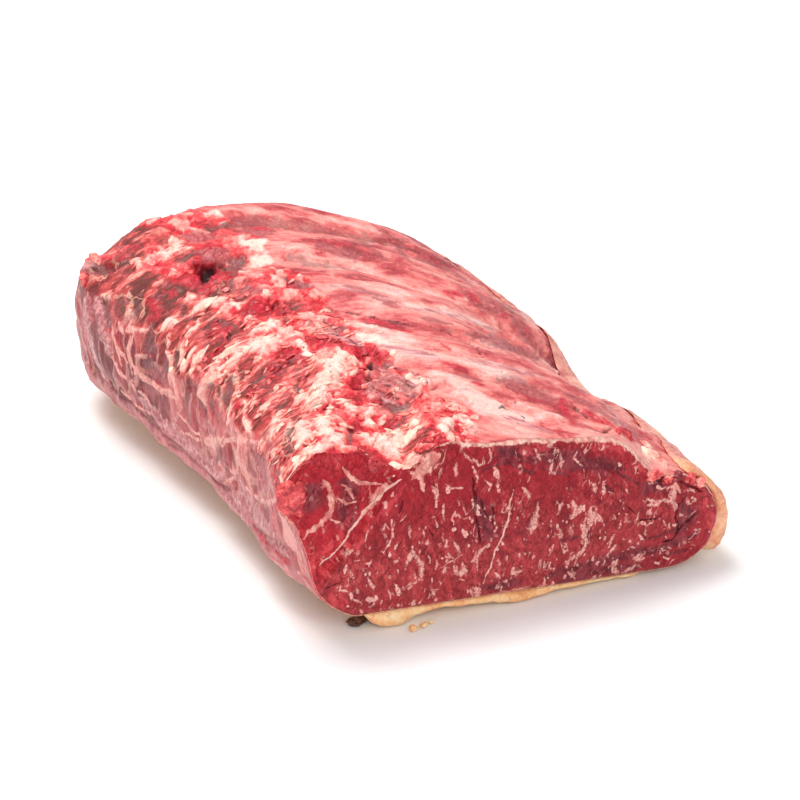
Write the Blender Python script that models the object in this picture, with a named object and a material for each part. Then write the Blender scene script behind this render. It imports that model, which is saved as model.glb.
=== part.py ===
"""A raw beef striploin lying on its fat, with its cut end towards -Y.

The lean is one lofted solid, from the cut end to the rounded far end, with the
knobs and pits of the back bone's side, the beds of the ribs and the seams of
its muscles as relief. The fat cap is a second solid, a layer under the lean
that comes up around its thin right edge.
"""

import math

import bmesh
import bpy
import numpy as np
from mathutils import Vector, noise

# Overall sizes in metres
LENGTH = 0.348
GAP = 0.0003

# Outline of the cut end: x, z, and the steps to the next point, from the left
# foot over the top to the right foot and back along the underside
CUT_OUTLINE = (
    (-0.0760, 0.0105, 3),
    (-0.0910, 0.0240, 5),
    (-0.1020, 0.0540, 5),
    (-0.1100, 0.0780, 3),
    (-0.0990, 0.0905, 4),
    (-0.0790, 0.0905, 4),
    (-0.0560, 0.0765, 4),
    (-0.0360, 0.0860, 5),
    (-0.0060, 0.0840, 5),
    (0.0300, 0.0775, 4),
    (0.0530, 0.0710, 4),
    (0.0680, 0.0550, 4),
    (0.0910, 0.0480, 4),
    (0.1035, 0.0300, 3),
    (0.0990, 0.0100, 3),
    (0.0850, 0.0022, 14),
)

# Outline of the body behind it, point for point
BODY_OUTLINE = (
    (-0.0820, 0.0095),
    (-0.0985, 0.0220),
    (-0.1005, 0.0460),
    (-0.0990, 0.0680),
    (-0.0835, 0.0830),
    (-0.0645, 0.0900),
    (-0.0460, 0.0920),
    (-0.0240, 0.0930),
    (0.0040, 0.0910),
    (0.0320, 0.0840),
    (0.0580, 0.0730),
    (0.0800, 0.0600),
    (0.0970, 0.0450),
    (0.1060, 0.0280),
    (0.1030, 0.0120),
    (0.0880, 0.0026),
)

# Changes along the length, at even steps from the cut end to the far end
DRIFT = (0.0, 0.0093, 0.0159, 0.0193, 0.0242)
WIDTH = (1.0, 0.993, 1.029, 1.104, 1.142)
HEIGHT = (1.0, 1.016, 1.037, 1.053, 1.069)
CUT_BLEND = 0.20
UNDER_FINER = 0.09
CUT_SKEW = -0.083
CUT_LEAN = -0.039
CUT_LEAN_MIDDLE = 0.040

# The rounded far end
END_SHARE = 0.22
END_POWER = 2.5
END_HEIGHT = 0.030
END_TURN = math.radians(79)

# Fineness of the lofted grid
BODY_RINGS = 45
END_RINGS = 7
CUT_RIM_DROP = 0.0012
CUT_RIM_INSET = 0.0020
CUT_SHRINKS = (0.90, 0.72, 0.52, 0.32)
END_SHRINKS = (0.70, 0.35)
MIDDLE_LEFT = -0.066
MIDDLE_RIGHT = 0.070

# Relief on top: x, y, radius across, radius along and height
PITS = (
    (-0.043, 0.230, 0.0100, 0.0090, -0.0100),
    (-0.046, 0.228, 0.0260, 0.0210, -0.0030),
    (-0.035, 0.162, 0.0100, 0.0075, -0.0060),
    (-0.040, 0.160, 0.0240, 0.0180, -0.0025),
    (-0.027, 0.082, 0.0075, 0.0080, -0.0055),
    (-0.044, 0.064, 0.0085, 0.0060, -0.0045),
    (-0.051, 0.257, 0.0070, 0.0070, -0.0045),
    (-0.076, 0.290, 0.0260, 0.0300, -0.0040),
)
LUMPS = (
    (-0.044, 0.016, 0.0150, 0.0140, 0.0055),
    (-0.055, 0.074, 0.0120, 0.0130, 0.0040),
    (-0.067, 0.133, 0.0120, 0.0160, 0.0035),
    (-0.045, 0.150, 0.0090, 0.0110, 0.0030),
    (-0.040, 0.102, 0.0110, 0.0110, 0.0030),
    (-0.034, 0.192, 0.0160, 0.0120, 0.0030),
    (-0.074, 0.205, 0.0120, 0.0140, 0.0035),
    (-0.080, 0.172, 0.0110, 0.0110, 0.0030),
    (-0.082, 0.100, 0.0100, 0.0150, 0.0025),
    (-0.094, 0.022, 0.0110, 0.0160, 0.0025),
    (-0.081, 0.283, 0.0100, 0.0100, 0.0090),
    (-0.006, 0.292, 0.0450, 0.0300, 0.0030),
    (0.072, 0.016, 0.0120, 0.0130, 0.0035),
)

# Grooves across the top, which the ribs lay in: width, depth and a line of x, y
GROOVES = (
    (0.0088, 0.0036, ((-0.020, 0.152), (0.008, 0.114), (0.041, 0.096), (0.069, 0.085), (0.090, 0.050))),
    (0.0105, 0.0032, ((-0.028, 0.224), (-0.004, 0.216), (0.024, 0.198), (0.052, 0.166), (0.084, 0.150))),
    (0.0120, 0.0030, ((-0.012, 0.262), (0.040, 0.258), (0.092, 0.226))),
    (0.0085, 0.0024, ((0.018, 0.054), (0.043, 0.016))),
    (0.0080, 0.0018, ((-0.022, 0.080), (0.004, 0.050), (0.016, 0.020))),
)

# The left wall: a groove along its foot with a scalloped upper edge
HEM_HEIGHT = 0.038
HEM_FALL = 0.004
HEM_WIDTH = 0.0065
HEM_DEPTH = 0.0034
SCALLOP_LENGTH = 0.034
SCALLOP_HEIGHT = 0.0035

# Swellings and waists of the sides: side, y, z, radius along, radius up and height
SIDE_LUMPS = (
    (1, 0.168, 0.060, 0.020, 0.017, 0.0055),
    (1, 0.116, 0.060, 0.036, 0.024, -0.0125),
    (-1, 0.045, 0.018, 0.036, 0.013, 0.0036),
    (-1, 0.282, 0.080, 0.011, 0.010, 0.0060),
)

# General unevenness
ROUGH_SIZE = 0.015
ROUGH_HEIGHT = 0.0030
SMOOTH_SIZE = 0.030
SMOOTH_HEIGHT = 0.0016

# The fat cap
FAT_SHORT_OF_END = 2
FAT_FRONT_RINGS = 8
FAT_EDGE_RINGS = 2
FLAP_THICKNESS = 0.0088
FLAP_LENGTH = 0.045
FLAP_TOP_COLUMNS = 11
WRAP_THICKNESS = 0.0024
NOTCH_DEPTH = 0.026
NOTCH_FROM = 0.078
NOTCH_TO_Z = 0.0040
FRONT_RAGGED = 0.0022

COLLECTION_NAME = "beef_striploin"


def along(values, share):
    """A smooth curve through values at even steps, read at shares from 0 to 1."""
    v = np.asarray(values, float)
    v = np.concatenate([[2 * v[0] - v[1]], v, [2 * v[-1] - v[-2]]])
    place = min(max(share, 0.0) * (len(values) - 1), len(values) - 1 - 1e-9)
    i = int(place)
    return catmull(v[i], v[i + 1], v[i + 2], v[i + 3], place - i)


def catmull(a, b, c, d, f):
    """The smooth curve between b and c at share f."""
    bend = 2 * a - 5 * b + 4 * c - d
    turn = 3 * b - a - 3 * c + d
    return 0.5 * (2 * b + (c - a) * f + bend * f**2 + turn * f**3)


def outline(points, steps):
    """A smooth outline through the points, closed by a straight underside."""
    p = np.asarray(points, float)
    padded = np.concatenate([[2 * p[0] - p[1]], p, [2 * p[-1] - p[-2]]])
    rows = []
    for i in range(len(p) - 1):
        for k in range(steps[i]):
            rows.append(catmull(*padded[i : i + 4], k / steps[i]))
    for k in range(steps[-1]):
        share = k / steps[-1]
        share -= UNDER_FINER * math.sin(2 * math.pi * share)
        rows.append(p[-1] + (p[0] - p[-1]) * share)
    return np.array(rows)


STEPS = [row[2] for row in CUT_OUTLINE]
CUT_SECTION = outline([row[:2] for row in CUT_OUTLINE], STEPS)
BODY_SECTION = outline(BODY_OUTLINE, STEPS)
AROUND = len(CUT_SECTION)
FIRST_UNDER = AROUND - STEPS[-1]


def cut_plane(x, z):
    """How far back the cut end lies at x and z."""
    return CUT_SKEW * x + CUT_LEAN * (z - CUT_LEAN_MIDDLE)


def bare_ring(share, shrink):
    """One cross-section of the loin, with no relief."""
    blend = min(share / CUT_BLEND, 1.0)
    blend = blend * blend * (3 - 2 * blend)
    section = CUT_SECTION * (1 - blend) + BODY_SECTION * blend
    middle = along(DRIFT, share)
    x = middle + section[:, 0] * along(WIDTH, share) * shrink
    z = END_HEIGHT + (section[:, 1] * along(HEIGHT, share) - END_HEIGHT) * shrink
    fade = max(1 - share / (1 - END_SHARE), 0.0)
    y = share * LENGTH + cut_plane(x, z) * fade
    return np.stack([x, y, z], axis=-1)


def bare_skin():
    """All the cross-sections, from the cut end to the far end."""
    rings = []
    for i in range(BODY_RINGS):
        rings.append(bare_ring((1 - END_SHARE) * i / (BODY_RINGS - 1), 1.0))
    for i in range(1, END_RINGS + 1):
        turn = END_TURN * i / END_RINGS
        share = 1 - END_SHARE + END_SHARE * math.sin(turn) ** (2 / END_POWER)
        rings.append(bare_ring(share, math.cos(turn) ** (2 / END_POWER)))
    return np.array(rings)


def normals_of(skin):
    """Outward directions at the points of a skin."""
    around = np.roll(skin, -1, axis=1) - np.roll(skin, 1, axis=1)
    length = np.gradient(skin, axis=0)
    n = np.cross(around, length)
    return n / np.linalg.norm(n, axis=-1, keepdims=True)


def step(value, low, high):
    """A smooth step from 0 at low to 1 at high."""
    t = np.clip((value - low) / (high - low), 0.0, 1.0)
    return t * t * (3 - 2 * t)


def hill(across, along_it):
    """A rounded hill of height 1 with its foot near radius 1.5."""
    return np.exp(-(across**2) - along_it**2)


def noise_field(points, size, seed):
    """Smooth noise between about -1 and 1 at every point."""
    shift = Vector((seed * 3.7, seed * 1.9, seed * 5.3))
    flat = points.reshape(-1, 3) / size
    values = [noise.noise(Vector(p) + shift) for p in flat]
    return np.array(values).reshape(points.shape[:-1])


def distance_to_line(x, y, line):
    """The distance of every point from a line through some corners."""
    best = np.full(x.shape, np.inf)
    for (ax, ay), (bx, by) in zip(line, line[1:]):
        dx, dy = bx - ax, by - ay
        share = np.clip(((x - ax) * dx + (y - ay) * dy) / (dx * dx + dy * dy), 0.0, 1.0)
        best = np.minimum(best, np.hypot(x - ax - share * dx, y - ay - share * dy))
    return best


def top_relief(skin, upward):
    """Knobs, pits and rib grooves, which lie on the top."""
    x, y = skin[..., 0], skin[..., 1]
    height = np.zeros(x.shape)
    for place_x, place_y, across, length, rise in PITS + LUMPS:
        height += rise * hill((x - place_x) / across, (y - place_y) / length)
    for width, depth, line in GROOVES:
        reach = distance_to_line(x, y, line) / width
        height += depth * (0.45 * np.exp(-((reach - 2.2) ** 2)) - np.exp(-(reach**2)))
    return height * upward


def wall_relief(skin, leftward):
    """The hem groove and the scallops above it, on the left wall."""
    y, z = skin[..., 1], skin[..., 2]
    scallop = np.abs(np.sin(np.pi * y / SCALLOP_LENGTH + 0.4)) * SCALLOP_HEIGHT
    line = HEM_HEIGHT - HEM_FALL * y / LENGTH - scallop
    groove = np.exp(-(((z - line) / HEM_WIDTH) ** 2))
    fade = step(y, 0.060, 0.090) * (1 - step(y, 0.80 * LENGTH, 0.95 * LENGTH))
    return -HEM_DEPTH * groove * fade * leftward


def side_relief(skin, across):
    """The swellings and waists of the sides."""
    y, z = skin[..., 1], skin[..., 2]
    height = np.zeros(y.shape)
    for side, place_y, place_z, length, tall, rise in SIDE_LUMPS:
        facing = step(side * across, 0.05, 0.50)
        height += rise * facing * hill((y - place_y) / length, (z - place_z) / tall)
    return height


def relieved(skin):
    """The skin with all its relief, moved along its own normals."""
    n = normals_of(skin)
    above = step(skin[..., 2], 0.010, 0.024)
    upward = step(n[..., 2], 0.10, 0.55)
    leftward = step(-n[..., 0], 0.25, 0.75)
    chine = 1 - step(skin[..., 0], -0.030, 0.006)
    rough = noise_field(skin, ROUGH_SIZE, 1) * ROUGH_HEIGHT
    soft = noise_field(skin, SMOOTH_SIZE, 2) * SMOOTH_HEIGHT
    height = top_relief(skin, upward) + wall_relief(skin, leftward) + side_relief(skin, n[..., 0])
    height += (rough * chine * upward + soft) * above
    return skin + n * height[..., None]


def seam_depth(x, z):
    """The seam between the chain muscle and the main muscle on the cut end."""
    across = (x + 0.0555) * 0.80 - (z - 0.0785) * 0.60
    inside = step(z, 0.026, 0.040)
    return 0.0022 * np.exp(-((across / 0.006) ** 2)) * inside


def cut_cap(rim):
    """Rings that close the cut end, from its rounded rim to its middle line."""
    spine = rim.copy()
    spine[:, 0] = np.clip(rim[:, 0], MIDDLE_LEFT, MIDDLE_RIGHT)
    spine[:, 2] = 0.044 - 0.012 * step(spine[:, 0], 0.0, MIDDLE_RIGHT)
    inward = spine - rim
    inward /= np.linalg.norm(inward, axis=-1, keepdims=True)
    rings = [rim + inward * CUT_RIM_INSET]
    for shrink in CUT_SHRINKS:
        rings.append(spine + (rings[0] - spine) * shrink)
    for i, ring in enumerate(rings):
        x, z = ring[:, 0], ring[:, 2]
        dome = 0.0012 * (i / len(CUT_SHRINKS))
        uneven = noise_field(ring, 0.020, 5) * 0.0008
        ring[:, 1] = cut_plane(x, z) - CUT_RIM_DROP - dome + seam_depth(x, z) + uneven
    return rings


def end_cap(rim):
    """Rings that close the far end."""
    centre = rim.mean(axis=0)
    rings = []
    for shrink in END_SHRINKS:
        ring = centre + (rim - centre) * shrink
        ring[:, 1] += 0.0012 * (1 - shrink)
        rings.append(ring)
    return rings


def solid_from_rings(name, rings, material, sheet=False):
    """One closed solid from a run of equal closed rings.

    The rings of a sheet run out along one side and back along the other, so
    its ends are closed with a strip instead of one face.
    """
    mesh = bpy.data.meshes.new(name)
    bm = bmesh.new()
    rows = [[bm.verts.new(point) for point in ring] for ring in rings]
    for first, second in zip(rows, rows[1:]):
        for k in range(len(first)):
            after = (k + 1) % len(first)
            bm.faces.new((first[k], first[after], second[after], second[k]))
    for row in (rows[0], rows[-1]):
        if not sheet:
            bm.faces.new(row)
            continue
        for k in range(len(row) // 2 - 1):
            bm.faces.new((row[k], row[k + 1], row[-2 - k], row[-1 - k]))
    bmesh.ops.triangulate(bm, faces=bm.faces[:], quad_method="FIXED")
    bmesh.ops.recalc_face_normals(bm, faces=bm.faces[:])
    bm.to_mesh(mesh)
    bm.free()
    mesh.shade_smooth()
    mesh.materials.append(material)
    return bpy.data.objects.new(name, mesh)


def skin_at(skin, place, column):
    """A point of the skin at a place between rings."""
    i = min(int(place), len(skin) - 2)
    f = place - i
    return skin[i, column] * (1 - f) + skin[i + 1, column] * f


def fat_front(x, z):
    """How far the fat cap's front edge lies behind the cut end."""
    corner = step(x, NOTCH_FROM - 0.010, NOTCH_FROM + 0.004)
    corner *= 1 - step(z, NOTCH_TO_Z, NOTCH_TO_Z + 0.006)
    ragged = 0.5 + 0.5 * noise.noise(Vector((x / 0.011, z / 0.011, 2.0)))
    return NOTCH_DEPTH * corner + FRONT_RAGGED * ragged


def fat_side(point, front):
    """The thickness of the fat around the right edge."""
    near = 1 - step(point[1] - front, 0.2 * FLAP_LENGTH, FLAP_LENGTH)
    low = 1 - 0.65 * step(point[2], 0.018, 0.046)
    return WRAP_THICKNESS + (FLAP_THICKNESS * low - WRAP_THICKNESS) * near


def fat_cap_rings(skin):
    """Closed rings of the fat cap, each once out along it and back inside it."""
    columns = list(range(FIRST_UNDER - FLAP_TOP_COLUMNS, AROUND))
    n = normals_of(skin)
    ring_spacing = LENGTH * (1 - END_SHARE) / (BODY_RINGS - 1)
    last = len(skin) - 1 - FAT_SHORT_OF_END
    rings = []
    for k in range(last + 1):
        inner = []
        outer = []
        for c, column in enumerate(columns):
            set_back = fat_front(skin[0, column, 0], skin[0, column, 2]) / ring_spacing
            place = k + set_back * max(1 - k / FAT_FRONT_RINGS, 0.0)
            point = skin_at(skin, place, column)
            normal = skin_at(n, place, column)
            normal = normal / np.linalg.norm(normal)
            edge = min(c / 4.0, (len(columns) - 1 - c) / 1.5, 1.0)
            edge = math.sqrt(max(1 - (1 - edge) ** 2, 0.0))
            tail = min((last - k) / FAT_EDGE_RINGS, 1.0)
            tail = math.sqrt(max(1 - (1 - tail) ** 2, 0.0))
            thin = min(edge, tail)
            start = point + normal * GAP
            uneven = 1 + 0.22 * noise.noise(Vector(point / 0.016))
            thickness = fat_side(start, set_back * ring_spacing) * uneven
            under = step(-normal[2], 0.55, 0.95)
            below = max(start[2], 0.0008)
            thickness = thickness * (1 - under) + below / max(-normal[2], 0.5) * under
            thickness = 0.0007 + (thickness - 0.0007) * thin
            stop = start + normal * thickness
            stop[2] = max(stop[2], 0.0)
            inner.append(start)
            outer.append(stop)
        rings.append(np.array(inner + outer[::-1]))
    return rings


def make_material(name, colour, roughness):
    """A plain material."""
    material = bpy.data.materials.new(name)
    material.use_nodes = True
    shader = material.node_tree.nodes["Principled BSDF"]
    shader.inputs["Base Color"].default_value = (*colour, 1.0)
    shader.inputs["Roughness"].default_value = roughness
    shader.inputs["Metallic"].default_value = 0.0
    material.diffuse_color = (*colour, 1.0)
    return material


def set_on_origin(objects):
    """Moves the meshes so that the middle of their underside is the origin."""
    corners = [v.co for o in objects for v in o.data.vertices]
    low = Vector(min(c[i] for c in corners) for i in range(3))
    high = Vector(max(c[i] for c in corners) for i in range(3))
    shift = Vector(((low.x + high.x) / 2, (low.y + high.y) / 2, low.z))
    for o in objects:
        for vertex in o.data.vertices:
            vertex.co -= shift


def main():
    """Builds the lean and the fat cap."""
    for old in list(bpy.data.objects):
        bpy.data.objects.remove(old)
    collection = bpy.data.collections.new(COLLECTION_NAME)
    bpy.context.scene.collection.children.link(collection)
    skin = relieved(bare_skin())
    rings = cut_cap(skin[0])[::-1] + list(skin) + end_cap(skin[-1])
    meat = make_material("raw_lean", (0.32, 0.035, 0.04), 0.35)
    fat = make_material("raw_fat", (0.78, 0.58, 0.38), 0.45)
    lean = solid_from_rings("lean", rings, meat)
    cap = solid_from_rings("fat_cap", fat_cap_rings(skin), fat, sheet=True)
    for o in (lean, cap):
        collection.objects.link(o)
    set_on_origin((lean, cap))


main()
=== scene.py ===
"""Looks of a raw beef striploin that lies on its fat, cut end to the front.

The lean is redrawn as a fine skin over the fixed solid, with the crags of the
bone side, the rib beds, the films and the marbled cut end. The fat cap, the
fat lumps, the shreds and the crumbs are pieces of their own.
"""

import logging
import math
from dataclasses import dataclass, field
from enum import Enum
from functools import partial

import bmesh
import bpy
import numpy as np
from mathutils import Matrix, Vector
from mathutils.bvhtree import BVHTree

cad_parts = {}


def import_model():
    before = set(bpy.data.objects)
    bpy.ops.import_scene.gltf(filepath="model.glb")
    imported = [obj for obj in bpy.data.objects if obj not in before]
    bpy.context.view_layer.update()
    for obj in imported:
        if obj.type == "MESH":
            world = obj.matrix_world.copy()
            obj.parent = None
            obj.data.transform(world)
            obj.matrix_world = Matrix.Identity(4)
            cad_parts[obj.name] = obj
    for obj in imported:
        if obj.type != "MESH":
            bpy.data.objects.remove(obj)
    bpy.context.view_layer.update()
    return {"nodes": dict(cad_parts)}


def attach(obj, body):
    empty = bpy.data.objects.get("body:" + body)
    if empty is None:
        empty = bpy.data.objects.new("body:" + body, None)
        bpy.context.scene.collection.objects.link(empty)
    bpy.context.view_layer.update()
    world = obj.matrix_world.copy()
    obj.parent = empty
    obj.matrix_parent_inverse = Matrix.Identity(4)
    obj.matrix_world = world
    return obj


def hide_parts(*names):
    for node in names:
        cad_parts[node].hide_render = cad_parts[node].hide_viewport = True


LOG = logging.getLogger("striploin")
ROOT = "root"
MM = 0.001

Colour = tuple[float, float, float]
Pixel = tuple[float, float]
Point = tuple[float, float, float]
Ramp = tuple[tuple[float, Colour], ...]
Array = np.ndarray
Fields = dict[str, Array]
Piece = bpy.types.Object
Material = bpy.types.Material


@dataclass(frozen=True)
class Sight:
    """The camera, and where a pixel of its picture falls on the loin."""

    place: Point = (-0.5657, -1.0839, 0.5608)
    aim: Point = (-0.0201, -0.0691, 0.0642)
    lens: float = 120.3
    sensor: float = 36.0
    picture: float = 800.0

    def axes(self) -> tuple[Array, Array, Array]:
        """Gives the camera's directions.

        Returns:
            The right, up and forward unit vectors.
        """
        forward = np.array(self.aim) - np.array(self.place)
        forward /= np.linalg.norm(forward)
        right = np.cross(forward, (0.0, 0.0, 1.0))
        right /= np.linalg.norm(right)
        return right, np.cross(right, forward), forward

    def ray(self, pixel: Pixel) -> Vector:
        """Gives the direction in which a pixel looks.

        Args:
            pixel: Its place, right and down from the picture's corner.

        Returns:
            A unit vector.
        """
        right, up, forward = self.axes()
        reach = self.sensor / self.lens / self.picture
        across = (pixel[0] - self.picture / 2) * reach
        down = (pixel[1] - self.picture / 2) * reach
        return Vector(forward + right * across - up * down).normalized()

    def make(self) -> None:
        """Makes the camera and hands it to the scene."""
        camera = put("camera", bpy.data.cameras.new("camera"))
        camera.data.lens = self.lens
        camera.data.sensor_width = self.sensor
        camera.data.clip_start = 0.01
        camera.location = self.place
        away = Vector(self.place) - Vector(self.aim)
        camera.rotation_euler = away.to_track_quat("Z", "Y").to_euler()
        bpy.context.scene.camera = camera


class Grain:
    """Seeded smooth noise, for shaping meshes."""

    @staticmethod
    def scramble(cell: Array, seed: int) -> Array:
        """Turns whole cell numbers into random whole numbers.

        Args:
            cell: Whole numbers, x, y and z last.
            seed: Which noise it is.

        Returns:
            One number below 2**32 for each cell.
        """
        x, y, z = (cell[..., i].astype(np.int64).astype(np.uint32) for i in range(3))
        h = x * np.uint32(0x8DA6B343) ^ y * np.uint32(0xD8163841) ^ z * np.uint32(0xCB1AB31F)
        h ^= np.uint32(seed * 0x9E3779B1 & 0xFFFFFFFF)
        h = (h ^ (h >> np.uint32(13))) * np.uint32(0x5BD1E995)
        h = (h ^ (h >> np.uint32(15))) * np.uint32(0x27D4EB2F)
        return h ^ (h >> np.uint32(13))

    @classmethod
    def smooth(cls, points: Array, size: float, seed: int) -> Array:
        """Reads gradient noise.

        Args:
            points: Places in metres.
            size: One wave's length in metres.
            seed: Which noise it is.

        Returns:
            Values between about -1 and 1.
        """
        p = points / size
        cell = np.floor(p)
        f = p - cell
        fade = f * f * f * (f * (f * 6 - 15) + 10)
        total = np.zeros(points.shape[:-1])
        for corner in np.ndindex(2, 2, 2):
            c = np.array(corner, float)
            h = cls.scramble(cell + c, seed)
            gradient = [((h >> np.uint32(s)) & np.uint32(255)) / 127.5 - 1 for s in (0, 8, 16)]
            dot = sum(gradient[i] * (f[..., i] - c[i]) for i in range(3))
            weight = np.prod(np.where(c > 0, fade, 1 - fade), axis=-1)
            total += dot * weight
        return total * 1.5

    @classmethod
    def crag(cls, points: Array, size: float, seed: int) -> Array:
        """Reads noise from about -1 to 1, with sharp ridges."""
        return 1 - 2.4 * np.abs(cls.smooth(points, size, seed))

    @classmethod
    def tissue(cls, points: Array, size: float, seed: int) -> tuple[Array, ...]:
        """Reads rounded cells, like clustered fat and bundles of muscle.

        Args:
            points: Places in metres.
            size: How wide a cell is, in metres.
            seed: Which noise it is.

        Returns:
            The height, up to 1 in a cell's middle, each cell's own number from 0 to 1,
            and the distance to the next cell, in cells.
        """
        p = points / size
        cell = np.floor(p)
        best = np.full(points.shape[:-1], 9.0)
        second = best.copy()
        pick = np.zeros(points.shape[:-1])
        for offset in np.ndindex(3, 3, 3):
            near = cell + np.array(offset, float) - 1
            h = cls.scramble(near, seed)
            spot = [((h >> np.uint32(s)) & np.uint32(255)) / 255.0 for s in (0, 8, 16)]
            gap = np.sqrt(sum((near[..., i] + spot[i] - p[..., i]) ** 2 for i in range(3)))
            closer = gap < best
            second = np.where(closer, best, np.minimum(second, gap))
            best = np.where(closer, gap, best)
            pick = np.where(closer, ((h >> np.uint32(24)) & np.uint32(255)) / 255.0, pick)
        return np.clip(1 - best**2, 0.0, 1.0), pick, second - best

    @classmethod
    def bend(cls, points: Array, size: float, reach: float, seed: int) -> Array:
        """Moves points by up to about reach, so that what is read there gets uneven."""
        moves = [cls.smooth(points, size, seed + i) for i in range(3)]
        return points + reach * np.stack(moves, -1)


def put(name: str, data: bpy.types.ID) -> Piece:
    """Puts data into the scene as a new object.

    Args:
        name: The object's name.
        data: What it shows.

    Returns:
        The object.
    """
    thing = bpy.data.objects.new(name, data)
    bpy.context.scene.collection.objects.link(thing)
    return thing


def hold(mesh: bpy.types.Mesh, name: str, values: Array) -> None:
    """Keeps one number for each of a mesh's points."""
    layer = mesh.attributes.new(name, "FLOAT", "POINT")
    layer.data.foreach_set("value", np.ascontiguousarray(values, np.float32).ravel())


def lay_stops(ramp: bpy.types.ColorRamp, stops: Ramp) -> None:
    """Gives a ramp its places and colours.

    Args:
        ramp: The ramp.
        stops: Its places and colours.
    """
    while len(ramp.elements) < len(stops):
        ramp.elements.new(1.0)
    for element, (place, colour) in zip(ramp.elements, stops):
        element.position = place
        element.color = (*colour, 1.0)


def add_node(tree: bpy.types.NodeTree, kind: str, settings: dict, values: dict) -> bpy.types.Node:
    """Adds a node to a tree.

    Args:
        tree: The tree.
        kind: The node's type.
        settings: Its properties, or a ramp's stops, set first.
        values: Its inputs, as numbers, colours or sockets to link.

    Returns:
        The node.
    """
    node = tree.nodes.new(kind)
    for key, value in settings.items():
        if key == "stops":
            lay_stops(node.color_ramp, value)
        else:
            setattr(node, key, value)
    for key, value in values.items():
        socket = node.inputs[key]
        if isinstance(value, bpy.types.NodeSocket):
            tree.links.new(value, socket)
        elif socket.type == "RGBA" and len(value) == 3:
            socket.default_value = (*value, 1.0)
        else:
            socket.default_value = value
    return node


def ease(value: Array, low: float, high: float) -> Array:
    """Steps smoothly from 0 at low to 1 at high, which may be below low."""
    t = np.clip((value - low) / (high - low), 0.0, 1.0)
    return t * t * (3 - 2 * t)


def between_rows(count: int, places: Array, closed: bool) -> Array:
    """Makes the matrix that reads a smooth curve between rows of points.

    Args:
        count: How many rows there are.
        places: Where to read, counted in rows.
        closed: Whether the last row is followed by the first.

    Returns:
        A matrix of len(places) by count.
    """
    base = np.floor(places).astype(int)
    f = places - base
    shares = (
        (-f + 2 * f**2 - f**3) / 2,
        (2 - 5 * f**2 + 3 * f**3) / 2,
        (f + 4 * f**2 - 3 * f**3) / 2,
        (f**3 - f**2) / 2,
    )
    matrix = np.zeros((len(places), count))
    for shift, share in zip((-1, 0, 1, 2), shares):
        row = base + shift
        row = row % count if closed else np.clip(row, 0, count - 1)
        np.add.at(matrix, (np.arange(len(places)), row), share)
    return matrix


def blur(grid: Array, axis: int, closed: bool) -> Array:
    """Softens a grid of points along one of its directions.

    Args:
        grid: The points, rings first.
        axis: 0 along the loin, 1 around it.
        closed: Whether it comes back on itself.

    Returns:
        The softened grid.
    """
    total = 0.375 * grid
    for shift, share in ((1, 0.25), (2, 0.0625)):
        for side in (shift, -shift):
            moved = np.roll(grid, side, axis=axis)
            if not closed:
                rows = np.arange(grid.shape[axis])
                moved = np.take(grid, np.clip(rows - side, 0, len(rows) - 1), axis=axis)
            total = total + share * moved
    if not closed:
        total[0] = grid[0]
    return total


def grid_normals(grid: Array) -> Array:
    """Gives the outward directions of rings that run around the loin.

    Args:
        grid: The points, rings first.

    Returns:
        Unit vectors of the same shape.
    """
    around = np.roll(grid, -1, axis=1) - np.roll(grid, 1, axis=1)
    n = np.cross(around, np.gradient(grid, axis=0))
    return n / np.maximum(np.linalg.norm(n, axis=-1, keepdims=True), 1e-12)


class Tint(Enum):
    """What a mark on the loin is."""

    FAT = "fat"
    BLOOD = "blood"
    # Dark tissue, and in part painted shade in creases, along steps and beside holes.
    DARK = "dark"
    FILM = "film"
    # Painted shade in cracks.
    CRACK = "crack"
    SEAM = "seam"
    FLECK = "fleck"
    WINE = "wine"
    # Painted shade in pits and holes, nearly black.
    PIT = "pit"


@dataclass(frozen=True)
class Strokes:
    """Strokes of one kind, each given by the pixels that it runs through.

    The width is half a stroke's and the rise is its relief, in millimetres.
    """

    tint: Tint
    width: float
    rise: float
    runs: tuple[tuple[int, ...], ...]


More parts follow.
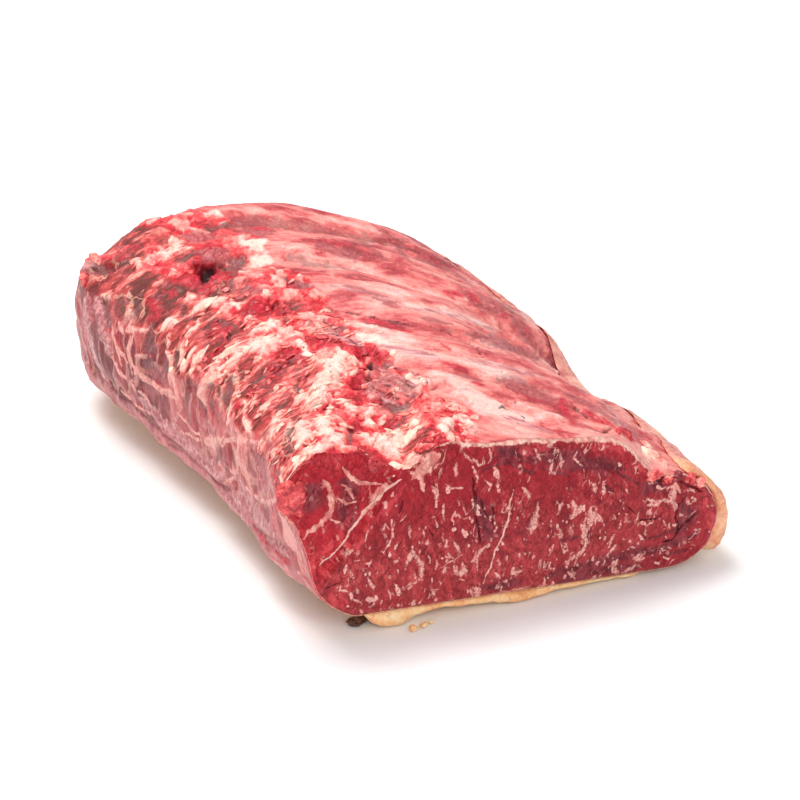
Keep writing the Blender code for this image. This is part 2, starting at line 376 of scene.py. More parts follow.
TOP_STROKES: tuple[Strokes, ...] = (
    Strokes(Tint.FAT, 4.6, 1.6, (
        (245, 342, 228, 355, 216, 370), (254, 346, 270, 350), (320, 352, 345, 358, 354, 366),
        (316, 386, 322, 398, 310, 404), (404, 434, 388, 446, 396, 458), (136, 262, 140, 268),
        (412, 426, 424, 420),
    )),
    Strokes(Tint.FAT, 3.6, 1.5, (
        (216, 370, 205, 385, 200, 395), (240, 356, 222, 372), (276, 322, 262, 330, 254, 336),
        (188, 296, 200, 306, 215, 304), (320, 422, 326, 434), (338, 362, 330, 376, 322, 384),
        (282, 414, 276, 428, 272, 440), (300, 424, 305, 436, 298, 446), (168, 262, 172, 252, 174, 240),
        (455, 395, 485, 402, 500, 410), (376, 438, 384, 452),
    )),
    Strokes(Tint.FAT, 2.4, 1.1, (
        (262, 412, 268, 406), (310, 450, 318, 458, 325, 452, 335, 448), (345, 376, 350, 384),
        (186, 252, 192, 248), (160, 330, 168, 322, 176, 322), (126, 305, 130, 318), (112, 298, 104, 296),
        (420, 380, 430, 386), (530, 412, 560, 420), (452, 420, 444, 430, 456, 440), (468, 424, 474, 436),
        (340, 440, 330, 446), (430, 384, 445, 378), (200, 322, 190, 335, 182, 350), (404, 380, 420, 392),
        (360, 436, 372, 446), (306, 396, 296, 402), (240, 400, 236, 408),
    )),
    Strokes(Tint.FAT, 1.4, 0.7, (
        (195, 345, 186, 360, 184, 375), (205, 350, 195, 362, 190, 378), (247, 418, 248, 432),
        (196, 388, 204, 402, 202, 412), (222, 395, 220, 418), (236, 388, 232, 410, 228, 428),
        (246, 400, 244, 420, 252, 436), (240, 246, 280, 248, 320, 253), (300, 255, 330, 261, 366, 270),
        (256, 392, 252, 408), (268, 440, 262, 450), (292, 420, 286, 436), (340, 404, 352, 414, 350, 420),
        (372, 410, 366, 420, 372, 432), (300, 455, 294, 470, 286, 486), (340, 444, 346, 462, 354, 478),
        (326, 404, 332, 412, 326, 418), (384, 418, 378, 428), (230, 376, 238, 384),
        (300, 342, 306, 352, 314, 360), (262, 300, 272, 292), (232, 300, 240, 312), (152, 286, 164, 282),
    )),
    Strokes(Tint.BLOOD, 4.6, 0.5, (
        (192, 272, 192, 286, 202, 292), (214, 324, 222, 336, 232, 326), (318, 342, 330, 348, 352, 352),
        (262, 302, 256, 312, 264, 318), (270, 368, 276, 380), (322, 462, 335, 455, 338, 462),
        (150, 300, 158, 312, 152, 324), (163, 292, 178, 296), (468, 292, 475, 300), (372, 464, 382, 468),
        (428, 432, 438, 442, 430, 450), (88, 262, 85, 285),
    )),
    Strokes(Tint.BLOOD, 3.2, 0.4, (
        (290, 305, 284, 312, 296, 318), (286, 352, 300, 358), (352, 360, 358, 352, 372, 352, 386, 356),
        (247, 396, 258, 386), (206, 294, 216, 290), (218, 268, 220, 284), (228, 342, 222, 350, 206, 362),
        (395, 418, 402, 426), (362, 374, 356, 386, 364, 380), (352, 458, 362, 458), (305, 468, 312, 462),
        (445, 292, 462, 296), (424, 416, 432, 424), (250, 228, 270, 232), (320, 240, 350, 246),
        (585, 412, 600, 422, 618, 428), (560, 400, 566, 414, 572, 425), (128, 246, 140, 250),
        (120, 262, 128, 255), (620, 430, 632, 434), (372, 456, 380, 462), (440, 448, 448, 444),
    )),
    Strokes(Tint.BLOOD, 2.4, 0.5, (
        (676, 456, 684, 462, 692, 468), (680, 474, 690, 478, 700, 480), (602, 418, 612, 426),
        (640, 432, 650, 440),
    )),
    Strokes(Tint.BLOOD, 1.7, 0.2, (
        (345, 318, 380, 323, 410, 332), (440, 344, 450, 350), (440, 361, 455, 365, 466, 372),
        (510, 390, 530, 398, 555, 404), (556, 408, 566, 412), (520, 360, 535, 364), (555, 430, 580, 434),
        (470, 385, 482, 386), (214, 405, 218, 425, 216, 436), (240, 395, 238, 412),
        (280, 268, 300, 275, 330, 276), (500, 315, 512, 314), (525, 325, 530, 335), (232, 396, 228, 412),
        (296, 352, 306, 366), (308, 376, 300, 388), (268, 396, 262, 404), (330, 398, 336, 402),
        (346, 398, 352, 404), (355, 424, 362, 436), (384, 436, 378, 446),
    )),
    Strokes(Tint.DARK, 4.8, -0.8, (
        (104, 300, 106, 318, 110, 328), (120, 300, 122, 312), (150, 334, 146, 348, 152, 352),
        (143, 362, 152, 372, 160, 376), (97, 262, 104, 272), (228, 272, 240, 262, 236, 274),
        (232, 228, 260, 222, 290, 226), (290, 226, 330, 232, 360, 238, 382, 240),
        (500, 379, 515, 383, 530, 391, 548, 399), (492, 295, 510, 300, 515, 312),
        (540, 356, 560, 366, 585, 385, 600, 398), (565, 375, 580, 388, 600, 395, 612, 410),
        (380, 402, 395, 408, 410, 402), (430, 262, 450, 266),
    )),
    Strokes(Tint.DARK, 3.2, -0.9, (
        (212, 384, 208, 400, 212, 412), (232, 378, 226, 395, 228, 410), (163, 345, 162, 372),
        (174, 352, 176, 368), (136, 300, 138, 318), (286, 259, 310, 263, 335, 268, 356, 272),
        (285, 280, 310, 286), (482, 340, 500, 346, 520, 352, 540, 358), (325, 322, 335, 328, 350, 330),
        (370, 240, 400, 245, 420, 252), (345, 252, 365, 250), (298, 418, 290, 432, 292, 442),
        (264, 432, 270, 428), (192, 385, 198, 402, 206, 418), (326, 468, 336, 470), (232, 280, 226, 292),
        (590, 428, 604, 432),
    )),
    # Thin dark lines: painted shade in creases and along steps.
    Strokes(Tint.DARK, 1.7, -1.0, (
        (322, 308, 334, 312), (430, 328, 450, 330, 470, 334, 492, 338), (372, 296, 400, 303),
        (244, 372, 240, 382), (185, 375, 190, 392), (538, 345, 536, 352), (500, 324, 506, 332, 512, 338),
        (352, 425, 348, 445), (440, 268, 452, 278, 466, 283), (296, 382, 298, 394), (284, 440, 290, 456),
        (216, 386, 220, 398), (440, 384, 434, 388), (312, 408, 322, 404),
    )),
    Strokes(Tint.WINE, 5.0, -0.3, (
        (200, 250, 215, 256, 228, 252), (245, 228, 262, 234, 275, 232), (318, 244, 335, 250, 356, 256),
        (184, 236, 205, 240, 226, 238), (430, 250, 445, 258), (470, 300, 500, 312), (560, 352, 580, 372),
        (92, 300, 96, 318),
    )),
    Strokes(Tint.WINE, 6.0, -0.4, (
        (462, 294, 484, 297, 506, 305), (474, 333, 505, 343, 540, 359),
        (566, 392, 592, 405, 614, 419, 640, 436), (372, 370, 394, 382, 414, 396), (362, 384, 384, 396),
        (508, 296, 516, 314, 526, 336, 542, 352), (505, 380, 530, 390, 552, 400),
        (418, 260, 444, 268, 470, 284), (548, 358, 572, 376, 596, 394),
    )),
    Strokes(Tint.FAT, 5.4, 0.3, (
        (354, 324, 382, 330, 412, 342), (362, 338, 392, 345, 420, 354),
        (422, 354, 452, 358, 492, 368, 522, 382), (432, 374, 460, 382, 482, 394),
        (410, 306, 440, 312, 470, 320, 496, 330), (516, 402, 540, 411, 560, 421),
        (358, 282, 390, 288, 420, 294, 450, 302), (470, 402, 500, 412, 530, 422),
    )),
    Strokes(Tint.WINE, 3.2, -0.3, (
        (372, 250, 388, 260), (395, 246, 410, 262), (376, 296, 396, 306), (345, 286, 365, 290),
        (288, 282, 312, 286), (240, 288, 268, 294), (300, 320, 330, 330, 345, 338), (505, 384, 530, 392),
        (450, 372, 480, 380), (600, 404, 616, 416), (150, 372, 168, 384), (424, 318, 450, 324),
        (190, 384, 196, 396),
    )),
    Strokes(Tint.DARK, 4.2, -0.5, (
        (240, 218, 256, 216, 272, 219, 288, 226, 310, 228, 335, 232, 360, 240, 374, 244),
        (205, 234, 214, 228, 236, 226), (386, 232, 404, 244), (354, 236, 368, 246),
        (226, 262, 240, 262, 236, 276),
    )),
    Strokes(Tint.FAT, 4.6, 0.4, (
        (288, 209, 312, 215, 340, 221, 378, 232), (208, 216, 230, 210, 258, 212),
        (246, 243, 290, 245, 312, 252), (330, 260, 352, 264, 372, 268), (252, 266, 274, 262),
    )),
    Strokes(Tint.FAT, 1.3, 0.7, (
        (338, 440, 342, 456, 346, 468, 354, 476), (352, 450, 354, 464, 360, 474),
        (318, 450, 316, 462, 320, 474), (310, 440, 306, 452, 300, 462), (112, 328, 118, 346, 128, 362),
        (134, 334, 130, 350, 134, 366, 148, 380, 168, 390), (168, 340, 168, 358, 170, 380),
        (126, 300, 134, 318, 128, 330, 150, 330), (184, 344, 180, 360, 184, 378),
    )),
    Strokes(Tint.BLOOD, 3.0, 0.4, (
        (326, 456, 334, 464, 336, 474), (357, 454, 362, 462), (305, 470, 310, 486), (296, 480, 300, 500),
    )),
    Strokes(Tint.BLOOD, 6.0, 0.6, ((194, 276, 200, 288, 212, 288, 220, 272), (208, 266, 208, 284))),
    # A pit, darkened as painted shade.
    Strokes(Tint.PIT, 4.6, -5.0, ((210, 269, 205, 283),)),
    Strokes(Tint.FILM, 3.4, 3.6, ((92, 264, 90, 274),)),
    Strokes(Tint.DARK, 3.0, -4.6, ((107, 262, 112, 270),)),
    # Small pits, darkened as painted shade.
    Strokes(Tint.PIT, 1.8, -2.6, ((172, 257, 168, 260), (371, 362, 368, 372, 370, 379))),
    # Cracks, darkened as painted shade.
    Strokes(Tint.CRACK, 1.1, -1.8, (
        (277, 300, 272, 310), (285, 314, 287, 326), (371, 379, 364, 388, 352, 391),
        (572, 404, 578, 410, 590, 420), (588, 429, 600, 433, 612, 428), (160, 266, 150, 268),
        (470, 342, 476, 348, 481, 354),
    )),
    Strokes(Tint.CRACK, 0.7, -1.1, (
        (334, 310, 360, 315, 380, 320, 400, 323, 430, 328), (491, 410, 500, 410, 514, 413, 524, 420),
        (511, 397, 515, 404), (262, 316, 268, 312), (226, 330, 232, 344), (240, 318, 244, 334),
        (322, 414, 328, 404),
    )),
    Strokes(Tint.FILM, 5.4, 0.2, ((85, 300, 88, 330),)),
    Strokes(Tint.FILM, 1.0, 0.3, (
        (372, 366, 396, 376, 426, 394), (366, 376, 392, 386, 420, 400), (364, 390, 388, 400, 404, 408),
        (386, 364, 412, 374, 436, 386), (384, 380, 404, 392),
    )),
    Strokes(Tint.FILM, 2.6, 0.2, (
        (330, 286, 370, 293, 395, 300), (322, 328, 345, 340, 365, 347), (500, 416, 525, 424, 550, 434),
        (404, 308, 430, 312, 466, 320, 492, 330), (380, 346, 410, 352, 440, 360),
        (470, 360, 500, 366, 540, 376),
    )),
    # Fine cracks, darkened as painted shade.
    Strokes(Tint.CRACK, 0.5, -0.4, (
        (380, 372, 405, 385, 430, 398), (376, 380, 400, 391, 426, 402), (390, 368, 414, 378, 436, 391),
        (330, 330, 350, 341, 362, 349), (368, 388, 392, 396, 410, 402), (328, 336, 346, 346),
        (384, 366, 410, 372, 424, 380),
    )),
)

WALL_STROKES: tuple[Strokes, ...] = (
    Strokes(Tint.FAT, 1.3, 0.6, (
        (131, 335, 128, 350, 134, 375), (110, 325, 118, 345, 122, 365), (118, 322, 124, 334),
        (166, 345, 170, 362, 175, 385, 178, 404), (140, 378, 160, 388, 176, 398), (150, 356, 136, 356),
        (105, 330, 112, 355, 120, 372, 140, 392, 158, 412), (206, 440, 220, 438), (262, 438, 262, 446),
    )),
    Strokes(Tint.FAT, 0.9, 0.5, (
        (238, 445, 242, 470, 250, 488), (248, 448, 256, 462, 262, 480, 272, 500), (262, 440, 256, 455),
        (275, 450, 280, 470, 284, 488, 278, 505), (220, 440, 240, 440, 262, 444),
        (178, 412, 192, 430, 206, 440), (262, 540, 280, 556, 290, 568), (296, 570, 304, 575),
        (288, 490, 284, 500, 281, 512, 290, 520), (210, 458, 226, 466, 240, 480),
    )),
    Strokes(Tint.FAT, 1.2, 0.6, (
        (187, 433, 200, 441, 213, 446, 226, 442, 238, 437), (247, 488, 258, 498, 270, 503, 280, 496),
        (200, 458, 212, 472, 224, 483, 238, 477), (133, 370, 150, 383, 174, 393),
        (123, 390, 140, 404, 158, 418), (240, 444, 236, 462, 242, 480), (158, 418, 172, 430, 187, 433),
        (284, 486, 280, 500, 286, 514, 300, 520),
    )),
    Strokes(Tint.WINE, 3.6, -0.4, (
        (200, 404, 206, 424, 212, 436), (214, 400, 222, 424), (250, 450, 262, 470, 268, 492),
        (272, 456, 278, 482), (216, 452, 228, 468), (182, 400, 190, 424), (142, 386, 162, 402),
        (250, 528, 268, 544, 290, 562),
    )),
    Strokes(Tint.DARK, 3.0, -0.5, (
        (256, 452, 262, 466, 268, 484), (230, 450, 234, 466), (220, 446, 216, 462),
    )),
    Strokes(Tint.BLOOD, 2.2, 0.1, (
        (262, 480, 267, 493), (283, 558, 292, 566), (198, 426, 206, 434), (214, 428, 216, 436),
        (252, 530, 262, 540, 276, 552), (272, 548, 286, 562, 300, 574), (304, 576, 316, 590),
        (246, 518, 256, 528),
    )),
    Strokes(Tint.BLOOD, 1.3, 0.3, (
        (255, 530, 268, 545), (270, 555, 285, 566), (286, 500, 292, 508), (300, 508, 296, 514),
    )),
    Strokes(Tint.FILM, 5.0, 0.3, (
        (238, 476, 250, 504, 268, 532, 288, 554), (300, 540, 306, 556, 314, 570), (226, 490, 244, 516),
    )),
    Strokes(Tint.FILM, 4.4, 0.4, (
        (140, 398, 175, 432, 200, 456, 225, 480), (86, 300, 88, 330, 96, 360, 110, 384),
        (96, 300, 102, 330, 112, 356),
    )),
    # Painted shade: these dark lines lie in the creases of the shreds, along the folds of the hem and along
    # its lower edge.
    Strokes(Tint.DARK, 1.2, -1.1, ((250, 525, 258, 532, 275, 540, 290, 552), (290, 498, 296, 501, 300, 498))),
    Strokes(Tint.DARK, 1.0, -0.9, (
        (100, 376, 130, 402, 160, 432, 190, 458, 210, 477, 235, 492), (84, 340, 92, 366, 104, 384),
        (104, 392, 128, 416, 150, 436, 180, 452), (204, 472, 226, 492, 240, 514),
    )),
)

CUT_STROKES: tuple[Strokes, ...] = (
    Strokes(Tint.SEAM, 0.55, 0.5, (
        (400, 478, 391, 486, 380, 495, 367, 510, 354, 528, 342, 544, 330, 558, 321, 568),
    )),
    Strokes(Tint.BLOOD, 1.7, 0.1, (
        (404, 484, 390, 502, 378, 514, 364, 531, 352, 545, 342, 556),
        (352, 518, 342, 534, 330, 548, 316, 562),
    )),
    Strokes(Tint.SEAM, 0.34, 0.2, ((514, 486, 509, 502, 508, 520, 502, 540, 496, 552, 488, 574, 484, 584),)),
    Strokes(Tint.FLECK, 0.6, 0.1, ((463, 487, 452, 488, 445, 484), (484, 480, 490, 484, 488, 492))),
    Strokes(Tint.FAT, 0.9, 0.3, ((345, 470, 352, 480, 362, 485, 382, 485),)),
    Strokes(Tint.FAT, 1.15, 0.3, ((326, 483, 332, 492, 334, 505, 331, 516, 323, 527, 312, 533, 304, 541),)),
    Strokes(Tint.FAT, 1.7, 0.3, ((388, 486, 378, 495, 371, 507, 362, 519),)),
    Strokes(Tint.FAT, 0.7, 0.2, (
        (340, 500, 350, 506, 358, 503), (334, 521, 342, 524), (344, 486, 352, 492, 356, 500),
    )),
    Strokes(Tint.FAT, 3.6, 0.7, (
        (438, 456, 426, 466, 414, 476), (648, 448, 656, 462, 664, 472), (650, 474, 660, 476),
    )),
    Strokes(Tint.FAT, 1.2, 0.4, (
        (420, 482, 424, 490), (704, 484, 706, 486), (676, 484, 682, 494), (560, 590, 600, 584, 640, 577),
        (480, 598, 500, 594, 530, 588),
    )),
    Strokes(Tint.FLECK, 2.1, 0.2, (
        (572, 518, 578, 510, 582, 506), (590, 508, 594, 518, 601, 521), (676, 486, 672, 500, 678, 508),
        (636, 558, 644, 558),
    )),
    Strokes(Tint.FLECK, 1.0, 0.1, (
        (584, 522, 584, 538, 588, 542, 578, 554, 566, 562), (648, 505, 656, 506, 663, 500),
        (572, 570, 576, 580), (592, 484, 594, 492), (603, 480, 602, 494), (616, 545, 608, 556),
        (612, 568, 618, 574), (696, 512, 690, 516),
    )),
    Strokes(Tint.FLECK, 1.9, 0.2, ((536, 516, 531, 532), (590, 510, 591, 526), (520, 570, 511, 574))),
    Strokes(Tint.FLECK, 1.15, 0.1, (
        (524, 488, 530, 498), (538, 504, 536, 520), (572, 500, 578, 512), (413, 551, 420, 565, 422, 580),
        (472, 562, 482, 552, 488, 548), (462, 562, 465, 572), (586, 528, 585, 540), (598, 514, 602, 520),
        (645, 558, 634, 560),
    )),
    Strokes(Tint.FLECK, 0.74, 0.1, (
        (392, 520, 393, 535, 390, 545, 385, 554), (437, 492, 436, 508), (443, 504, 445, 520),
        (385, 524, 390, 530), (452, 540, 460, 552), (456, 462, 454, 472), (463, 452, 472, 462),
        (490, 450, 492, 458, 488, 463), (536, 448, 541, 462), (553, 462, 548, 474), (590, 480, 595, 488),
        (603, 480, 604, 492), (553, 545, 549, 555), (574, 566, 578, 556, 586, 546), (615, 535, 608, 548),
        (368, 578, 375, 590), (352, 598, 360, 602), (575, 578, 568, 572), (408, 590, 410, 582),
        (436, 570, 437, 560), (472, 466, 478, 480), (430, 562, 428, 555), (496, 480, 498, 492),
        (648, 500, 660, 504), (612, 568, 616, 576), (494, 572, 500, 578), (458, 578, 464, 580),
    )),
    Strokes(Tint.FLECK, 0.52, 0.0, (
        (436, 520, 438, 530), (452, 515, 453, 525), (408, 515, 402, 522), (410, 530, 411, 540),
        (476, 552, 478, 570), (434, 470, 440, 464), (505, 446, 522, 442), (578, 452, 574, 458, 582, 466),
        (560, 452, 556, 458), (404, 570, 408, 560), (395, 566, 400, 558), (372, 558, 370, 566),
        (361, 560, 352, 560), (340, 590, 350, 592), (440, 590, 430, 590), (418, 606, 424, 600),
        (450, 602, 452, 596), (672, 488, 676, 500), (424, 530, 425, 538), (366, 530, 362, 540),
        (600, 556, 606, 560), (640, 512, 636, 520), (620, 520, 618, 528), (664, 520, 668, 528),
        (548, 562, 544, 570), (388, 590, 392, 600), (470, 590, 474, 598),
    )),
    # Cracks in the cut meat, darkened as painted shade.
    Strokes(Tint.CRACK, 0.5, -0.8, (
        (472, 478, 475, 496, 477, 520, 483, 546),
        (664, 542, 672, 540, 680, 531, 676, 517, 680, 505, 688, 497), (680, 531, 690, 520, 700, 512),
        (676, 470, 680, 480, 690, 486, 704, 492),
    )),
    # A hole and a notch, darkened as painted shadow.
    Strokes(Tint.PIT, 1.5, -1.4, ((656, 482, 664, 480, 668, 484), (643, 456, 646, 460))),
    # Fine cracks, darkened as painted shade.
    Strokes(Tint.CRACK, 0.3, -0.4, (
        (492, 500, 495, 530), (326, 590, 340, 582), (480, 498, 488, 518), (399, 548, 404, 540),
        (434, 538, 430, 530), (404, 500, 400, 516), (625, 505, 636, 514), (640, 520, 656, 519, 664, 512),
    )),
    Strokes(Tint.DARK, 0.8, -0.3, (
        (490, 455, 520, 468, 536, 474), (482, 470, 500, 464, 530, 462), (560, 540, 590, 536),
        (340, 500, 355, 506), (540, 468, 570, 476), (640, 540, 664, 536, 690, 524),
        (600, 462, 620, 474, 640, 484), (520, 456, 560, 462, 600, 458), (564, 470, 600, 466, 630, 470),
        (660, 556, 690, 550), (600, 482, 612, 490),
    )),
    Strokes(Tint.DARK, 4.6, -0.2, (
        (345, 482, 355, 494, 345, 512, 352, 530), (310, 490, 318, 498, 310, 510), (648, 486, 664, 486),
        (684, 506, 690, 516, 682, 530), (500, 452, 560, 458, 620, 468),
    )),
    Strokes(Tint.DARK, 3.2, -0.2, (
        (545, 578, 575, 569, 620, 557, 660, 549, 698, 534), (560, 582, 590, 573, 640, 566),
        (478, 500, 486, 520, 490, 540), (676, 452, 684, 462, 678, 472), (486, 588, 520, 582),
        (690, 458, 700, 468),
    )),
    Strokes(Tint.BLOOD, 2.4, 0.3, (
        (684, 482, 694, 484), (640, 466, 648, 474, 656, 474), (662, 460, 668, 462), (300, 560, 312, 574),
        (330, 596, 346, 606), (584, 444, 606, 446, 626, 450), (520, 452, 550, 449),
        (704, 500, 712, 520, 714, 536), (334, 458, 340, 470),
    )),
)


@dataclass
class Lean:
    """The lean as the fixed solid gives it, read along lines from inside it."""

    tree: BVHTree
    sight: Sight
    cut_y: float = -0.171
    cut_skew: float = -0.083
    cut_lean: float = -0.039
    cut_middle: float = 0.04
    tail_y: float = 0.1023
    left_line: tuple[float, float] = (-0.078, -0.058)
    right_line: tuple[float, float] = (0.062, 0.084)
    line_height: tuple[float, float] = (0.047, 0.03)
    columns: tuple[int, int, int, int] = (62, 62, 26, 12)
    body_rings: int = 116
    tail_rings: int = 34
    tail_turn: float = math.radians(86)
    grid: Array = field(default_factory=lambda: np.zeros((0, 0, 3)))

    def cut_slope(self, x: Array, z: Array) -> Array:
        """Says how far behind its middle the cut end lies, at places across and up."""
        return self.cut_skew * x + self.cut_lean * (z - self.cut_middle)

    def spokes(self, share: float) -> tuple[Array, Array]:
        """Lays the starts and directions of the lines around one section.

        Args:
            share: Where it is, from 0 at the cut to 1 at the tail.

        Returns:
            Both, as x and z.
        """
        left = self.left_line[0] + (self.left_line[1] - self.left_line[0]) * share
        right = self.right_line[0] + (self.right_line[1] - self.right_line[0]) * share
        fan, top, edge, under = self.columns
        turn = np.concatenate(
            [
                1.5 * np.pi - np.pi * np.arange(fan) / fan,
                np.full(top, np.pi / 2),
                np.pi / 2 - np.pi * np.arange(edge) / edge,
                np.full(under, -np.pi / 2),
            ]
        )
        reach = np.concatenate(
            [np.zeros(fan), np.arange(top) / top, np.ones(edge), 1 - np.arange(under) / under]
        )
        low, high = self.line_height[1], self.line_height[0]
        start = np.stack([left + (right - left) * reach, high + (low - high) * reach], -1)
        return start, np.stack([np.cos(turn), np.sin(turn)], -1)

    def hit(self, start: Array, way: Array) -> Array:
        """Finds where a line from inside leaves the lean, or gives its start."""
        place = self.tree.ray_cast(Vector(start), Vector(way))[0]
        return np.array(place) if place is not None else start

    def measure(self) -> None:
        """Reads the lean's surface into an even grid of rings."""
        rings = []
        for i in range(self.body_rings):
            share = i / (self.body_rings - 1)
            start, way = self.spokes(share)
            y = self.cut_y + 0.0016 + (self.tail_y - self.cut_y - 0.0016) * share
            back = self.cut_slope(start[:, 0], start[:, 1]) * (1 - share)
            climb = (self.cut_skew * way[:, 0] + self.cut_lean * way[:, 1]) * (1 - share)
            starts = np.stack([start[:, 0], y + back, start[:, 1]], -1)
            ways = np.stack([way[:, 0], climb, way[:, 1]], -1)
            rings.append([self.hit(a, b) for a, b in zip(starts, ways)])
        for i in range(1, self.tail_rings + 1):
            turn = self.tail_turn * i / self.tail_rings
            start, way = self.spokes(1.0)
            middle = start.mean(axis=0)
            start = middle + (start - middle) * math.cos(turn) ** 0.8
            starts = np.stack([start[:, 0], np.full(len(start), self.tail_y), start[:, 1]], -1)
            side = way * math.cos(turn)
            ways = np.stack([side[:, 0], np.full(len(side), math.sin(turn)), side[:, 1]], -1)
            rings.append([self.hit(a, b) for a, b in zip(starts, ways)])
        grid = np.array(rings)
        for _ in range(2):
            grid = blur(blur(grid, 1, True), 0, False)
        self.grid = grid

    def finer(self, places: Array, columns: int) -> Array:
        """Reads the grid at closer steps.

        Args:
            places: Where to read, counted in rings.
            columns: How many points go around.

        Returns:
            The finer grid of points.
        """
        count, around = self.grid.shape[:2]
        down = between_rows(count, places, False)
        across = between_rows(around, np.arange(columns) * around / columns, True)
        return np.einsum("ai,ijk,bj->abk", down, self.grid, across, optimize=True)

    def spot(self, pixel: Pixel) -> tuple[Array, Array]:
        """Finds the place that a pixel shows, or one nearer to the picture's middle.

        Args:
            pixel: The pixel.

        Returns:
            The place and the outward direction there.
        """
        middle = np.full(2, self.sight.picture / 2)
        eye = Vector(self.sight.place)
        for share in np.linspace(0.0, 0.3, 31):
            moved = np.array(pixel) + (middle - pixel) * share
            place, out, _, _ = self.tree.ray_cast(eye, self.sight.ray(tuple(moved)))
            if place is not None:
                break
        out = out if out.dot(eye - place) > 0 else -out
        return np.array(place), np.array(out)

    def land(self, run: tuple[int, ...], step: float = 4.0) -> Array:
        """Lays a run of pixels on the lean.

        Args:
            run: Its corners, right and down in turn.
            step: The longest gap between points, in pixels.

        Returns:
            Points on the surface.
        """
        found = []
        corners = np.reshape(np.array(run, float), (-1, 2))
        for a, b in zip(corners, corners[1:]):
            count = max(int(np.hypot(*(b - a)) / step), 1)
            for k in range(count + 1):
                pixel = a + (b - a) * k / count
                place = self.tree.ray_cast(Vector(self.sight.place), self.sight.ray(tuple(pixel)))[0]
                if place is not None:
                    found.append(np.array(place))
        return np.array(found)


def distance_to_run(points: Array, run: Array, taper: float = 1.0) -> Array:
    """Measures how far points are from a run of points.

    Args:
        points: The points.
        run: The corners of the run.
        taper: How wide the run is at its ends, against its middle.

    Returns:
        Distances in metres.
    """
    flat = points.reshape(-1, 3)
    best = np.full(len(flat), 1.0)
    low, high = run.min(axis=0) - 0.02, run.max(axis=0) + 0.02
    near = np.all((flat > low) & (flat < high), axis=1)
    p = flat[near]
    found = np.full(len(p), 1.0)
    share = np.linspace(0.0, np.pi, len(run))
    wide = taper + (1 - taper) * np.sqrt(np.maximum(np.sin(share), 0.0))
    for a, b, wa, wb in zip(run, run[1:], wide, wide[1:]):
        way = b - a
        place = np.clip((p - a) @ way / max(way @ way, 1e-12), 0.0, 1.0)
        gap = np.linalg.norm(p - a - place[:, None] * way, axis=1)
        found = np.minimum(found, gap / (wa + (wb - wa) * place))
    best[near] = found
    return best.reshape(points.shape[:-1])


@dataclass
class Marks:
    """The marks of one surface, as a field for each tint and one relief."""

    fields: Fields
    relief: Array

    @classmethod
    def read(
        cls, lean: Lean, points: Array, strokes: tuple[Strokes, ...], wobble: float, flat: bool = False
    ) -> "Marks":
        """Reads strokes on a surface.

        Args:
            lean: The lean that the strokes lie on.
            points: The surface's points.
            strokes: The strokes.
            wobble: How far their edges stray, in metres.
            flat: Whether depth along the loin is left out.

        Returns:
            Fields, 1 in a stroke's middle and 0.5 on its edge, and the relief in metres.
        """
        fields = {tint.value: np.zeros(points.shape[:-1]) for tint in Tint}
        relief = np.zeros(points.shape[:-1])
        strayed = Grain.bend(points, 0.007, wobble, 41)
        strayed = Grain.bend(strayed, 0.0025, wobble * 0.4, 45)
        uneven = 1 + 0.4 * Grain.smooth(points, 0.004, 44) + 0.45 * Grain.smooth(points, 0.0018, 47)
        kept = np.array([1.0, 0.0 if flat else 1.0, 1.0])
        for stroke in strokes:
            for run in stroke.runs:
                path = lean.land(run)
                if len(path) < 2:
                    continue
                reach = distance_to_run(strayed * kept, path * kept, 0.4) / (stroke.width * MM) * uneven
                value = np.clip(1 - reach / 2, 0.0, 1.0)
                key = stroke.tint.value
                fields[key] = np.maximum(fields[key], value)
                relief += stroke.rise * MM * ease(value, 0.1, 0.8)
        return cls(fields, relief)


class Wire:
    """A value in a shader, whose sums and products add the nodes they need."""

    def __init__(self, shader: "Shader", socket: bpy.types.NodeSocket) -> None:
        """Keeps the shader and the socket."""
        self.shader = shader
        self.socket = socket

    def _join(self, operation: str, first: "Wire | float", second: "Wire | float") -> "Wire":
        """Adds one Math node and gives its result."""
        node = self.shader.node("ShaderNodeMath", {"operation": operation}, {0: first, 1: second})
        return Wire(self.shader, node.outputs[0])

    def __add__(self, other: "Wire | float") -> "Wire":
        """Adds."""
        return self._join("ADD", self, other)

    def __radd__(self, other: float) -> "Wire":
        """Adds to a number."""
        return self._join("ADD", other, self)

    def __sub__(self, other: "Wire | float") -> "Wire":
        """Takes away."""
        return self._join("SUBTRACT", self, other)

    def __rsub__(self, other: float) -> "Wire":
        """Takes from a number."""
        return self._join("SUBTRACT", other, self)

    def __mul__(self, other: "Wire | float") -> "Wire":
        """Multiplies."""
        return self._join("MULTIPLY", self, other)

    def __rmul__(self, other: float) -> "Wire":
        """Multiplies a number."""
        return self._join("MULTIPLY", other, self)

    def top(self, other: "Wire | float") -> "Wire":
        """Takes the larger of two."""
        return self._join("MAXIMUM", self, other)

    def gap(self) -> "Wire":
        """Takes the distance from 0."""
        return self._join("ABSOLUTE", self, 0.0)

    def ease(self, low: float, high: float) -> "Wire":
        """Steps smoothly from 0 to 1.

        Args:
            low: Where the step starts.
            high: Where it ends, which may be below low.

        Returns:
            The step.
        """
        settings = {"interpolation_type": "SMOOTHSTEP"}
        if low < high:
            values = {"Value": self, "From Min": low, "From Max": high, "To Min": 0.0, "To Max": 1.0}
        else:
            values = {"Value": self, "From Min": high, "From Max": low, "To Min": 1.0, "To Max": 0.0}
        node = self.shader.node("ShaderNodeMapRange", settings, values)
        return Wire(self.shader, node.outputs["Result"])


